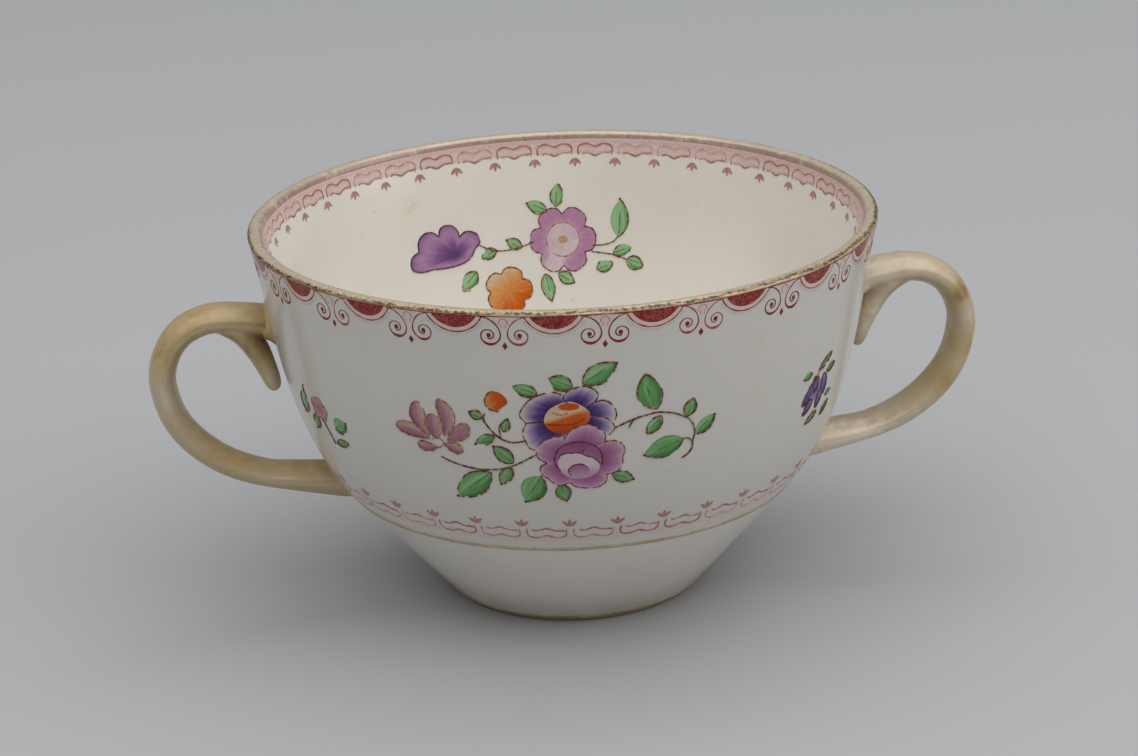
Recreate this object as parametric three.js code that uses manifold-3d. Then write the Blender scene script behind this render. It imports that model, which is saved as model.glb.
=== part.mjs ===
// A two-handled bouillon cup of glazed white ware, as separate solids in millimetres, +Z up.
// The cup stands on z = 0 with its axis on Z, and its handles lie along -X and +X.
import * as THREE from 'three';
import { mergeVertices } from 'three/addons/utils/BufferGeometryUtils.js';
import Module from 'manifold-3d';

const wasm = await Module();
wasm.setup();

// Bowl: a cone from the foot to the shoulder, then one swelling wall up to a slightly flared rim
const CUP_HEIGHT = 60.75;
const RIM_RADIUS = 49;
const RIM_FLARE = 2.8;
const RIM_FLARE_DEPTH = 11.6;
const SHOULDER_RADIUS = 35;
const SHOULDER_HEIGHT = 17.6;
const SHOULDER_SWELL = 12.6;
const FOOT_RADIUS = 19.7;
const FOOT_EDGE = 0.5;
const FOOT_RING_WIDTH = 3.2;
const FOOT_RING_TAPER = 1.2;
const FOOT_RECESS = 2.4;
const FLOOR_THICKNESS = 3.4;
const LIP_THICKNESS = 2.1;
const LIP_CROWN = 0.55;
const MIDDLE_WALL = 2.7;
const SHOULDER_WALL = 4.5;
const WELL_DROP = 7.5;
const WELL_RADIUS = 12;

// Gilding: a band over the lip and thin lines at the waist and the foot
const GILT_THICKNESS = 0.15;
const RIM_BAND_DEPTH = 0.4;
const WAIST_LINE_HEIGHT = 18.7;
const WAIST_LINE_WIDTH = 0.8;
const FOOT_LINE_HEIGHT = 0.9;
const FOOT_LINE_WIDTH = 1.1;

// Handles: an oval strap that loops from below the rim to the shoulder, with a spur under its upper end
const HANDLE_DROP = 13;
const HANDLE_ROOT_HEIGHT = 20;
const HANDLE_STAND = 19.7;
const STRAP_THICKNESS = 4.3;
const STRAP_WIDTH = 8;
const LOWER_STRAP_THICKNESS = 3.8;
const UPPER_END_THICKNESS = 5;
const ROOT_THICKNESS = 5.8;
const SPUR_THICKNESS = 3.9;
const SPUR_WIDTH = 7;
const SPUR_TIP_THICKNESS = 2.5;
const SPUR_TIP_WIDTH = 4.6;

// Slip: the thin clay pads that hold the handle ends to the wall
const SLIP_THICKNESS = 0.5;
const SLIP_SPREAD = 0.9;
const SEAT_GAP = 0.3;

// Fineness of the facets
const TURN_SIDES = 60;
const STRAP_SIDES = 12;
const STRAP_STEPS = 26;
const SPUR_STEPS = 9;
const LIP_STEPS = 5;
const CONE_STEPS = 3;
const WALL_STEPS = 9;
const WELL_STEPS = 7;
const PAD_SIDES = 8;
const HALVING_LIMIT = 1e-9;
const WELD_DISTANCE = 1e-4;

// Spine of the strap, from inside the wall at its top to inside the wall at its root. Each point has its
// distance from the wall as a share of HANDLE_STAND, and its place between the root and the crown.
const STRAP_SPINE_SHARES = [
  [-0.09, 0.95],
  [0.175, 0.985],
  [0.465, 1],
  [0.68, 0.944],
  [0.825, 0.85],
  [0.947, 0.695],
  [0.983, 0.54],
  [0.973, 0.396],
  [0.902, 0.26],
  [0.765, 0.14],
  [0.562, 0.06],
  [0.325, 0.022],
  [-0.05, -0.02],
];

// Spine of the spur, from inside the strap's crown down to the free tip beside the wall
const SPUR_SPINE_SHARES = [
  [0.375, 0.985],
  [0.24, 0.91],
  [0.16, 0.81],
  [0.126, 0.695],
  [0.11, 0.562],
];

const lipHeight = CUP_HEIGHT - LIP_CROWN;
const floorTop = FOOT_RECESS + FLOOR_THICKNESS;
const coneLean = (SHOULDER_RADIUS - FOOT_RADIUS) / SHOULDER_HEIGHT;
const waistLineTop = WAIST_LINE_HEIGHT + WAIST_LINE_WIDTH;
const footLineTop = FOOT_LINE_HEIGHT + FOOT_LINE_WIDTH;
const rimBandBottom = lipHeight - RIM_BAND_DEPTH;
const crownHeight = CUP_HEIGHT - HANDLE_DROP;

const shoulder = new THREE.Vector2(SHOULDER_RADIUS, SHOULDER_HEIGHT);
const swell = new THREE.Vector2(
  SHOULDER_RADIUS + SHOULDER_SWELL * coneLean,
  SHOULDER_HEIGHT + SHOULDER_SWELL,
);
const flare = new THREE.Vector2(RIM_RADIUS - RIM_FLARE, lipHeight - RIM_FLARE_DEPTH);
const rim = new THREE.Vector2(RIM_RADIUS, lipHeight);
const upperWall = new THREE.CubicBezierCurve(shoulder, swell, flare, rim);

// The point of an upward curve of radius and height at a height, found by halving
function atHeight(curve, height) {
  let low = 0;
  let high = 1;
  while (high - low > HALVING_LIMIT) {
    const middle = (low + high) / 2;
    if (curve.getPoint(middle).y < height) {
      low = middle;
    } else {
      high = middle;
    }
  }
  return new THREE.Vector2(curve.getPoint(high).x, height);
}

// Radius of the bowl's outside at a height
function wallRadius(height) {
  if (height <= SHOULDER_HEIGHT) {
    return FOOT_RADIUS + coneLean * height;
  }
  return atHeight(upperWall, height).x;
}

// Evenly spaced values between two ends, without the ends
function between(start, end, count) {
  return Array.from({ length: count }, (_, i) => start + ((end - start) * (i + 1)) / (count + 1));
}

function wallPoint(height) {
  return new THREE.Vector2(wallRadius(height), height);
}

const outerHeights = [
  FOOT_EDGE,
  FOOT_LINE_HEIGHT,
  footLineTop,
  ...between(footLineTop, WAIST_LINE_HEIGHT, CONE_STEPS),
  WAIST_LINE_HEIGHT,
  waistLineTop,
  ...between(waistLineTop, rimBandBottom, WALL_STEPS),
  rimBandBottom,
  lipHeight,
];
const outerWall = outerHeights.map(wallPoint);

// A line of profile points moved out along its own normals
function offsetLine(points, distance) {
  return points.map((point, i) => {
    const ahead = points[Math.min(i + 1, points.length - 1)];
    const behind = points[Math.max(i - 1, 0)];
    const along = ahead.clone().sub(behind).normalize();
    return new THREE.Vector2(point.x + along.y * distance, point.y - along.x * distance);
  });
}

// The low round of the lip from its outside over the top to its inside, without the two ends,
// with a skin of some thickness on it
function lipArc(skin) {
  const halfLip = LIP_THICKNESS / 2;
  return between(0, Math.PI, LIP_STEPS).map((angle) => new THREE.Vector2(
    RIM_RADIUS - halfLip + (halfLip + skin) * Math.cos(angle),
    lipHeight + (LIP_CROWN + skin) * Math.sin(angle),
  ));
}

// The inside of the bowl from the lip down to the middle of its floor
const innerLip = new THREE.Vector2(RIM_RADIUS - LIP_THICKNESS, lipHeight);
const innerFlare = new THREE.Vector2(flare.x - MIDDLE_WALL, flare.y);
const innerSwell = new THREE.Vector2(swell.x - (MIDDLE_WALL + SHOULDER_WALL) / 2, swell.y);
const innerShoulder = new THREE.Vector2(SHOULDER_RADIUS - SHOULDER_WALL, SHOULDER_HEIGHT);
const wellSide = new THREE.Vector2(innerShoulder.x - WELL_DROP * coneLean, SHOULDER_HEIGHT - WELL_DROP);
const wellFloor = new THREE.Vector2(WELL_RADIUS, floorTop);
const wellMiddle = new THREE.Vector2(0, floorTop);
const innerUpper = new THREE.CubicBezierCurve(innerShoulder, innerSwell, innerFlare, innerLip);
const innerWell = new THREE.CubicBezierCurve(innerShoulder, wellSide, wellFloor, wellMiddle);
const innerHeights = [
  lipHeight,
  rimBandBottom,
  ...between(rimBandBottom, SHOULDER_HEIGHT, WALL_STEPS),
];
const innerWall = [
  ...innerHeights.map((height) => atHeight(innerUpper, height)),
  ...innerWell.getPoints(WELL_STEPS),
];

// One closed mesh with shared vertices and without triangles that have closed up on the axis
function weld(geometry) {
  const bare = geometry.clone();
  bare.deleteAttribute('normal');
  bare.deleteAttribute('uv');
  const merged = mergeVertices(bare, WELD_DISTANCE);
  const corners = merged.index.array;
  const kept = [];
  for (let i = 0; i < corners.length; i += 3) {
    const [a, b, c] = [corners[i], corners[i + 1], corners[i + 2]];
    if (a !== b && b !== c && c !== a) {
      kept.push(a, b, c);
    }
  }
  merged.setIndex(kept);
  return merged;
}

// A solid turned about Z from a profile of radius and height that runs upwards on its outside
function turned(profile) {
  return weld(new THREE.LatheGeometry(profile, TURN_SIDES).rotateX(Math.PI / 2));
}

function toSolid(geometry) {
  return new wasm.Manifold(new wasm.Mesh({
    numProp: 3,
    vertProperties: new Float32Array(geometry.attributes.position.array),
    triVerts: new Uint32Array(geometry.index.array),
  }));
}

function toGeometry(solid) {
  const mesh = solid.getMesh();
  const geometry = new THREE.BufferGeometry();
  geometry.setAttribute('position', new THREE.BufferAttribute(mesh.vertProperties.slice(), 3));
  geometry.setIndex([...mesh.triVerts]);
  return geometry;
}

function closed(profile) {
  return [...profile, profile[0].clone()];
}

// The bowl: body, shoulder, foot and hollow base are one piece of clay
const bowlProfile = [
  new THREE.Vector2(0, FOOT_RECESS),
  new THREE.Vector2(FOOT_RADIUS - FOOT_RING_WIDTH - FOOT_RING_TAPER, FOOT_RECESS),
  new THREE.Vector2(FOOT_RADIUS - FOOT_RING_WIDTH, 0),
  new THREE.Vector2(FOOT_RADIUS - FOOT_EDGE, 0),
  ...outerWall,
  ...lipArc(0),
  ...innerWall,
];

// The gilt band folded over the lip: its inner side is the lip itself
const lipOuter = outerWall.slice(-2);
const lipInner = innerWall.slice(0, 2);
const lipSkin = [...lipOuter, ...lipArc(0), ...lipInner];
const rimBandProfile = closed([
  ...offsetLine(lipOuter, GILT_THICKNESS),
  ...lipArc(GILT_THICKNESS),
  ...offsetLine(lipInner, GILT_THICKNESS),
  ...lipSkin.reverse(),
]);

// A thin gilt line round the outside between two heights of the wall
function lineProfile(bottom, top) {
  const skin = [wallPoint(bottom), wallPoint(top)];
  return closed([...offsetLine(skin, GILT_THICKNESS), ...skin.reverse()]);
}

// A point of the handle's mid-plane from its shares of stand and rise, with X outwards
function handlePoint([stand, rise]) {
  const height = HANDLE_ROOT_HEIGHT + rise * (crownHeight - HANDLE_ROOT_HEIGHT);
  return new THREE.Vector3(wallRadius(height) + stand * HANDLE_STAND, 0, height);
}

// A value between the listed ones, at a share of the way along
function along(values, share) {
  const place = share * (values.length - 1);
  const first = Math.min(Math.floor(place), values.length - 2);
  return THREE.MathUtils.lerp(values[first], values[first + 1], place - first);
}

// An oval rod along a spine in the mid-plane, with its thickness in that plane and its width across it
function ovalRod(spinePoints, steps, thicknesses, widths) {
  const spine = new THREE.CatmullRomCurve3(spinePoints.map(handlePoint), false, 'centripetal');
  const positions = [];
  const corners = [];
  for (let step = 0; step <= steps; step += 1) {
    const share = step / steps;
    const centre = spine.getPointAt(share);
    const tangent = spine.getTangentAt(share);
    const across = new THREE.Vector3(-tangent.z, 0, tangent.x);
    for (let side = 0; side < STRAP_SIDES; side += 1) {
      const angle = (2 * Math.PI * side) / STRAP_SIDES;
      const out = (along(thicknesses, share) / 2) * Math.cos(angle);
      const sideways = (along(widths, share) / 2) * Math.sin(angle);
      positions.push(centre.x + across.x * out, sideways, centre.z + across.z * out);
    }
  }
  for (let step = 0; step < steps; step += 1) {
    for (let side = 0; side < STRAP_SIDES; side += 1) {
      const next = (side + 1) % STRAP_SIDES;
      const [a, b] = [step * STRAP_SIDES + side, step * STRAP_SIDES + next];
      const [c, d] = [a + STRAP_SIDES, b + STRAP_SIDES];
      corners.push(a, c, b, b, c, d);
    }
  }
  for (let side = 1; side < STRAP_SIDES - 1; side += 1) {
    const last = steps * STRAP_SIDES;
    corners.push(0, side, side + 1, last, last + side + 1, last + side);
  }
  const geometry = new THREE.BufferGeometry();
  geometry.setAttribute('position', new THREE.Float32BufferAttribute(positions, 3));
  geometry.setIndex(corners);
  return geometry;
}

// The handle: strap and spur in one, cut to the curve of the wall with room for the slip
const strap = ovalRod(
  STRAP_SPINE_SHARES,
  STRAP_STEPS,
  [
    UPPER_END_THICKNESS,
    STRAP_THICKNESS,
    STRAP_THICKNESS,
    STRAP_THICKNESS,
    LOWER_STRAP_THICKNESS,
    ROOT_THICKNESS,
  ],
  [STRAP_WIDTH, STRAP_WIDTH],
);
const spur = ovalRod(
  SPUR_SPINE_SHARES,
  SPUR_STEPS,
  [SPUR_THICKNESS, SPUR_THICKNESS, SPUR_TIP_THICKNESS],
  [SPUR_WIDTH, SPUR_WIDTH, SPUR_TIP_WIDTH],
);
const seatLine = offsetLine(outerWall, SLIP_THICKNESS + SEAT_GAP);
const seatCutter = turned([
  new THREE.Vector2(0, seatLine[0].y),
  ...seatLine,
  new THREE.Vector2(0, lipHeight),
]);
const handleGeometry = toGeometry(toSolid(strap).add(toSolid(spur)).subtract(toSolid(seatCutter)));

// A pad of slip: a patch of a thin shell on the wall, under the end of the strap at a height
const slipShell = toSolid(turned(closed([
  ...offsetLine(outerWall, SLIP_THICKNESS),
  ...outerWall.slice().reverse(),
])));

const slipHalfWidth = STRAP_WIDTH / 2 + SLIP_SPREAD;

function slipPad(height, endThickness) {
  const outline = new THREE.Shape();
  outline.absellipse(0, height, slipHalfWidth, endThickness / 2 + SLIP_SPREAD, 0, 2 * Math.PI);
  const prism = new THREE.ExtrudeGeometry(outline, {
    depth: 2 * RIM_RADIUS,
    bevelEnabled: false,
    curveSegments: PAD_SIDES,
  });
  prism.applyMatrix4(new THREE.Matrix4().makeBasis(
    new THREE.Vector3(0, 1, 0),
    new THREE.Vector3(0, 0, 1),
    new THREE.Vector3(1, 0, 0),
  ));
  return toGeometry(slipShell.intersect(toSolid(weld(prism))));
}

// The waist line stops short of the handle roots, so it is one arc at the front and one at the back
function waistArc(side) {
  const ring = turned(lineProfile(WAIST_LINE_HEIGHT, waistLineTop));
  const reach = 2 * RIM_RADIUS;
  const half = new THREE.BoxGeometry(2 * reach, reach, 2 * CUP_HEIGHT);
  half.translate(0, side * (reach / 2 + slipHalfWidth + SEAT_GAP), 0);
  return toGeometry(toSolid(ring).intersect(toSolid(weld(half))));
}

const glaze = new THREE.MeshStandardMaterial({ color: 0xe6e2d9, roughness: 0.18, metalness: 0 });
const gilding = new THREE.MeshStandardMaterial({ color: 0xa8894a, roughness: 0.38, metalness: 0.8 });
const handleGilding = new THREE.MeshStandardMaterial({ color: 0xc0a672, roughness: 0.4, metalness: 0.4 });
const slipClay = new THREE.MeshStandardMaterial({ color: 0xb39a68, roughness: 0.5, metalness: 0.2 });

const cup = new THREE.Group();

function addPiece(parent, name, geometry, material) {
  const piece = new THREE.Mesh(geometry, material.clone());
  piece.name = name;
  parent.add(piece);
}

addPiece(cup, 'bowl', turned(bowlProfile), glaze);
addPiece(cup, 'rim_gilding', turned(rimBandProfile), gilding);
addPiece(cup, 'front_waist_gilding', waistArc(-1), gilding);
addPiece(cup, 'back_waist_gilding', waistArc(1), gilding);
addPiece(cup, 'foot_gilding', turned(lineProfile(FOOT_LINE_HEIGHT, footLineTop)), gilding);

const upperSeat = handlePoint(STRAP_SPINE_SHARES[0]).z;
const lowerSeat = handlePoint(STRAP_SPINE_SHARES[STRAP_SPINE_SHARES.length - 1]).z;
for (const [side, turn] of [['right', 0], ['left', Math.PI]]) {
  const handleSide = new THREE.Group();
  handleSide.rotation.z = turn;
  addPiece(handleSide, `${side}_handle`, handleGeometry, handleGilding);
  addPiece(handleSide, `${side}_upper_slip`, slipPad(upperSeat, UPPER_END_THICKNESS), slipClay);
  addPiece(handleSide, `${side}_lower_slip`, slipPad(lowerSeat, ROOT_THICKNESS), slipClay);
  cup.add(handleSide);
}

export default cup;
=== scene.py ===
"""A two-handled bouillon cup of white glazed ware, with printed borders, painted sprays and worn gilding."""
import math
import random

import bmesh
import bpy
import numpy as np
from mathutils import Matrix, Vector


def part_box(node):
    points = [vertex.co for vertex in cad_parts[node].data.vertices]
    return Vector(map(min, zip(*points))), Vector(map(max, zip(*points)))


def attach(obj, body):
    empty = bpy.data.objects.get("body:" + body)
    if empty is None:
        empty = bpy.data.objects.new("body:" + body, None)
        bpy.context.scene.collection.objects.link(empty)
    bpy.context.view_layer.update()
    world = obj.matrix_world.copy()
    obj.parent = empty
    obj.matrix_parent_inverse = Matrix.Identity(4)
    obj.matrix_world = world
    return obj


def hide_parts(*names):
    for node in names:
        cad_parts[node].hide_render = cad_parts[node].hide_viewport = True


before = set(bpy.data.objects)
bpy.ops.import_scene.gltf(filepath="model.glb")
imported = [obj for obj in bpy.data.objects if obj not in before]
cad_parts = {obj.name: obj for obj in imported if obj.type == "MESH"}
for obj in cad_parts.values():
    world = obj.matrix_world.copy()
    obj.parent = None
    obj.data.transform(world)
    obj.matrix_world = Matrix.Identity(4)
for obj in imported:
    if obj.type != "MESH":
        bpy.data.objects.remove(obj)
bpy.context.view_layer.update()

# The viewpoint: a long lens a little to the left of the painted front, some twenty degrees above the table.
# It leans slightly, so that the cup's right side stands higher in the picture.
MM = 0.001
CAMERA_DISTANCE = 508 * MM
CAMERA_ELEVATION = math.radians(19.71)
CAMERA_TURN = math.radians(-7)
CAMERA_ROLL = math.radians(-2.12)
CAMERA_AIM = Vector((0.07, 0, 33.32)) * MM
SENSOR_WIDTH = 36
FOCAL_LENGTH = 101.23

camera = bpy.data.objects.new("camera", bpy.data.cameras.new("camera"))
camera.data.sensor_width = SENSOR_WIDTH
camera.data.lens = FOCAL_LENGTH
camera.matrix_world = (
    Matrix.Rotation(CAMERA_TURN, 4, "Z")
    @ Matrix.Translation(CAMERA_AIM)
    @ Matrix.Rotation(math.pi / 2 - CAMERA_ELEVATION, 4, "X")
    @ Matrix.Rotation(CAMERA_ROLL, 4, "Z")
    @ Matrix.Translation((0, 0, CAMERA_DISTANCE))
)
bpy.context.scene.collection.objects.link(camera)
bpy.context.scene.camera = camera
bpy.context.scene.view_settings.view_transform = "Standard"

# The table and its light: a plain pale grey sheet that runs on behind the cup, a broad soft lamp above it
# and a weak one at each side, in a room of even light.
FLOOR_REACH = 2.6
FLOOR_DROP = 0.02 * MM
FLOOR_GREY = (0.46, 0.465, 0.475)
FLOOR_GREY_DEEP = (0.435, 0.44, 0.45)
PAPER_ROUGHNESS = 0.75
PAPER_TOOTH = (0.04, 0.0002)
ROOM_LIGHT = (0.97, 0.98, 1.0)
ROOM_STRENGTH = 0.16
LAMPS = {
    "overhead_lamp": {"place": (0.04, -0.19, 1.1), "width": 2.2, "power": 21.6},
    "side_lamp": {"place": (1.3, -0.4, 0.45), "width": 1, "power": 3.4},
    "fill_lamp": {"place": (-1.3, -0.5, 0.45), "width": 1.2, "power": 1.2},
}


class Finish:
    """A material made of nodes: a Principled shader and the patterns that feed it."""

    def __init__(self, name, **settings):
        self.material = bpy.data.materials.new(name)
        self.material.use_nodes = True
        self.tree = self.material.node_tree
        self.shader = self.tree.nodes["Principled BSDF"]
        self.set(**settings)

    def feed(self, node, inputs):
        """Links sockets to a node's inputs and writes plain values into them."""
        for key, value in inputs.items():
            if isinstance(value, bpy.types.NodeSocket):
                self.tree.links.new(value, node.inputs[key])
            else:
                node.inputs[key].default_value = value

    def set(self, colour=None, roughness=None, bump=None, **others):
        """Feeds the shader's own sockets."""
        named = {"Base Color": colour, "Roughness": roughness, "Normal": bump}
        named.update({key.replace("_", " ").title(): value for key, value in others.items()})
        self.feed(self.shader, {key: value for key, value in named.items() if value is not None})

    def node(self, kind, inputs, **settings):
        node = self.tree.nodes.new("ShaderNode" + kind)
        for key, value in settings.items():
            setattr(node, key, value)
        self.feed(node, inputs)
        return node

    def place(self):
        return self.node("TexCoord", {}).outputs["Object"]

    def attribute(self, name):
        return self.node("Attribute", {}, attribute_name=name).outputs["Fac"]

    def noise(self, scale, detail=4, vector=None):
        inputs = {"Scale": scale, "Detail": detail, "Vector": vector or self.place()}
        return self.node("TexNoise", inputs).outputs["Fac"]

    def math(self, operation, first, second, clamp=False):
        return self.node("Math", {0: first, 1: second}, operation=operation, use_clamp=clamp).outputs[0]

    def ramp(self, share, stops):
        node = self.node("ValToRGB", {"Fac": share})
        elements = node.color_ramp.elements
        while len(elements) < len(stops):
            elements.new(1)
        for element, (position, colour) in zip(elements, stops):
            element.position = position
            element.color = (*colour, 1)
        return node.outputs["Color"]

    def step(self, share, low, high, start=0, end=1):
        """A ramp of numbers from a start at the low share to an end at the high one."""
        inputs = {"Value": share, "From Min": low, "From Max": high, "To Min": start, "To Max": end}
        return self.node("MapRange", inputs).outputs["Result"]

    def mix(self, share, first, second):
        node = self.node("Mix", {0: share}, data_type="RGBA")
        for key, value in ((6, first), (7, second)):
            flat = not isinstance(value, bpy.types.NodeSocket)
            self.feed(node, {key: (*value, 1) if flat else value})
        return node.outputs[2]

    def bump(self, height, strength, distance):
        inputs = {"Height": height, "Strength": strength, "Distance": distance}
        return self.node("Bump", inputs).outputs["Normal"]


def mesh_piece(name, points, faces, finish):
    """An object of smooth faces from points in millimetres."""
    mesh = bpy.data.meshes.new(name)
    mesh.from_pydata([Vector(point) * MM for point in points], [], faces)
    mesh.shade_smooth()
    mesh.materials.append(finish.material)
    piece = bpy.data.objects.new(name, mesh)
    bpy.context.scene.collection.objects.link(piece)
    return piece


table_paper = Finish("table_paper", roughness=PAPER_ROUGHNESS)
paper_cloud = table_paper.noise(3, detail=3)
table_paper.set(colour=table_paper.mix(paper_cloud, FLOOR_GREY, FLOOR_GREY_DEEP))
table_paper.set(bump=table_paper.bump(table_paper.noise(900), *PAPER_TOOTH))
reach = FLOOR_REACH / MM
floor_points = [(x * reach, y * reach, -FLOOR_DROP / MM) for x, y in ((-1, -1), (1, -1), (1, 1), (-1, 1))]
table = mesh_piece("table", floor_points, [(0, 1, 2, 3)], table_paper)

for lamp_name, setting in LAMPS.items():
    lamp_light = bpy.data.lights.new(lamp_name, "AREA")
    lamp_light.size = setting["width"]
    lamp_light.energy = setting["power"]
    lamp = bpy.data.objects.new(lamp_name, lamp_light)
    lamp.location = setting["place"]
    lamp.rotation_euler = (-lamp.location).to_track_quat("-Z", "Y").to_euler()
    bpy.context.scene.collection.objects.link(lamp)

room = bpy.data.worlds.new("room")
room.use_nodes = True
room.node_tree.nodes["Background"].inputs["Color"].default_value = (*ROOM_LIGHT, 1)
room.node_tree.nodes["Background"].inputs["Strength"].default_value = ROOM_STRENGTH
bpy.context.scene.world = room

# The bowl: one thrown piece of white ware, a cone on a small hollow foot that swells into the wall at the
# shoulder. It is dipped in a clear glaze with specks and a few tea stains. Its outer wall above the shoulder
# carries painted shade, and the glaze turns darker and browner towards the foot.
RIM_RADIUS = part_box("bowl")[1].x / MM
CUP_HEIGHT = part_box("bowl")[1].z / MM
LIP_CROWN = 0.55
LIP_WIDTH = 2.1
RIM_FLARE = 2.8
RIM_FLARE_DEPTH = 11.6
SHOULDER_RADIUS = 35
SHOULDER_HEIGHT = 17.6
SHOULDER_SWELL = 12.6
FOOT_RADIUS = 19.7
FOOT_EDGE = 0.5
FOOT_RING_WIDTH = 3.2
FOOT_RING_TAPER = 1.2
FOOT_RECESS = 2.4
FLOOR_TOP = 5.8
MIDDLE_WALL = 2.7
SHOULDER_WALL = 4.5
WELL_DROP = 7.5
WELL_RADIUS = 12
TURN_STEPS = 288
WALL_STEPS = 90
WELL_STEPS = 40
LIP_STEPS = 14
EDGE_STEPS = 6
CONE_ROWS = 24
GLAZE_WHITE = (0.788, 0.75, 0.68)
GLAZE_GREY = (0.742, 0.71, 0.65)
# Painted shade: a darker glaze colour for the outer wall above the shoulder, reached over a rise of heights
# up to a share.
GLAZE_PAINTED_SHADE = (0.572, 0.553, 0.506)
OUTER_SHADE_SHARE = 0.62
OUTER_SHADE_RISE = (18, 21)
GLAZE_SPECK = (0.33, 0.3, 0.27)
SPECK_STRENGTH = 0.28
TEA_STAIN = (0.6, 0.53, 0.33)
# A darker, browner glaze colour towards the foot, within a reach above it.
GLAZE_FOOT_DARK = (0.42, 0.35, 0.25)
FOOT_DARK_REACH = 7
GLAZE_ROUGHNESS = (0.13, 0.22)
GLAZE_RIPPLE = (0.06, 0.0002)

LIP_HEIGHT = CUP_HEIGHT - LIP_CROWN
CONE_LEAN = (SHOULDER_RADIUS - FOOT_RADIUS) / SHOULDER_HEIGHT


def bezier(corners, steps):
    """Points of a cubic curve from its four corners."""
    share = np.linspace(0, 1, steps + 1)[:, None]
    start, first, second, end = (np.array(corner, float) for corner in corners)
    rest = 1 - share
    return start * rest**3 + 3 * first * rest**2 * share + 3 * second * rest * share**2 + end * share**3


def arc(middle, reach, first, last, steps):
    """Points of an upright oval arc between two angles in degrees."""
    angles = np.radians(np.linspace(first, last, steps + 1))
    return np.column_stack([middle[0] + reach[0] * np.cos(angles), middle[1] + reach[1] * np.sin(angles)])


swell_height = SHOULDER_HEIGHT + SHOULDER_SWELL
swell_radius = SHOULDER_RADIUS + SHOULDER_SWELL * CONE_LEAN
flare_height = LIP_HEIGHT - RIM_FLARE_DEPTH
flare_radius = RIM_RADIUS - RIM_FLARE
outer_wall = bezier(
    [
        (SHOULDER_RADIUS, SHOULDER_HEIGHT),
        (swell_radius, swell_height),
        (flare_radius, flare_height),
        (RIM_RADIUS, LIP_HEIGHT),
    ],
    WALL_STEPS,
)
inner_wall = bezier(
    [
        (SHOULDER_RADIUS - SHOULDER_WALL, SHOULDER_HEIGHT),
        (swell_radius - (MIDDLE_WALL + SHOULDER_WALL) / 2, swell_height),
        (flare_radius - MIDDLE_WALL, flare_height),
        (RIM_RADIUS - LIP_WIDTH, LIP_HEIGHT),
    ],
    WALL_STEPS,
)
inner_well = bezier(
    [
        (SHOULDER_RADIUS - SHOULDER_WALL, SHOULDER_HEIGHT),
        (SHOULDER_RADIUS - SHOULDER_WALL - WELL_DROP * CONE_LEAN, SHOULDER_HEIGHT - WELL_DROP),
        (WELL_RADIUS, FLOOR_TOP),
        (0, FLOOR_TOP),
    ],
    WELL_STEPS,
)


def outer_radius(height):
    """Radius of the bowl's outside at a height."""
    return np.interp(height, [0, *outer_wall[:, 1]], [FOOT_RADIUS, *outer_wall[:, 0]])


def inner_radius(height):
    """Radius of the bowl's inside at a height above the shoulder."""
    return np.interp(height, inner_wall[:, 1], inner_wall[:, 0])


def turned(name, profile, finish, closed=False, span=(0, 360), wander=None):
    """A surface turned about the cup's axis from a profile of radius and height that runs upwards outside.
    The optional wander moves a profile's point out and up round the turn."""
    whole = span[1] - span[0] == 360
    columns = max(2, round(TURN_STEPS * (span[1] - span[0]) / 360)) + (0 if whole else 1)
    angles = np.radians(np.linspace(*span, columns, endpoint=not whole))
    points = []
    for angle in angles:
        for row, (radius, height) in enumerate(profile):
            out, up = wander(row, angle) if wander else (0, 0)
            reach = radius + out
            points.append((reach * math.cos(angle), reach * math.sin(angle), height + up))
    rows = len(profile)
    faces = []
    for column in range(columns if whole else columns - 1):
        here, there = column * rows, (column + 1) % columns * rows
        for row in range(rows if closed else rows - 1):
            up = (row + 1) % rows
            faces.append((here + row, there + row, there + up, here + up))
    if closed and not whole:
        faces.append(tuple(range(rows)))
        faces.append(tuple(reversed(range((columns - 1) * rows, columns * rows))))
    return mesh_piece(name, points, faces, finish)


def welded(piece, distance=1e-7):
    """Merges the points of a turned piece that meet on the axis."""
    work = bmesh.new()
    work.from_mesh(piece.data)
    bmesh.ops.remove_doubles(work, verts=work.verts, dist=distance)
    bmesh.ops.recalc_face_normals(work, faces=work.faces)
    work.to_mesh(piece.data)
    work.free()
    return piece


def mark(piece, name, values):
    """Stores one value for each point of a piece, for its finish to read."""
    stored = piece.data.attributes.new(name, "FLOAT", "POINT")
    stored.data.foreach_set("value", np.asarray(values, np.float32))


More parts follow.
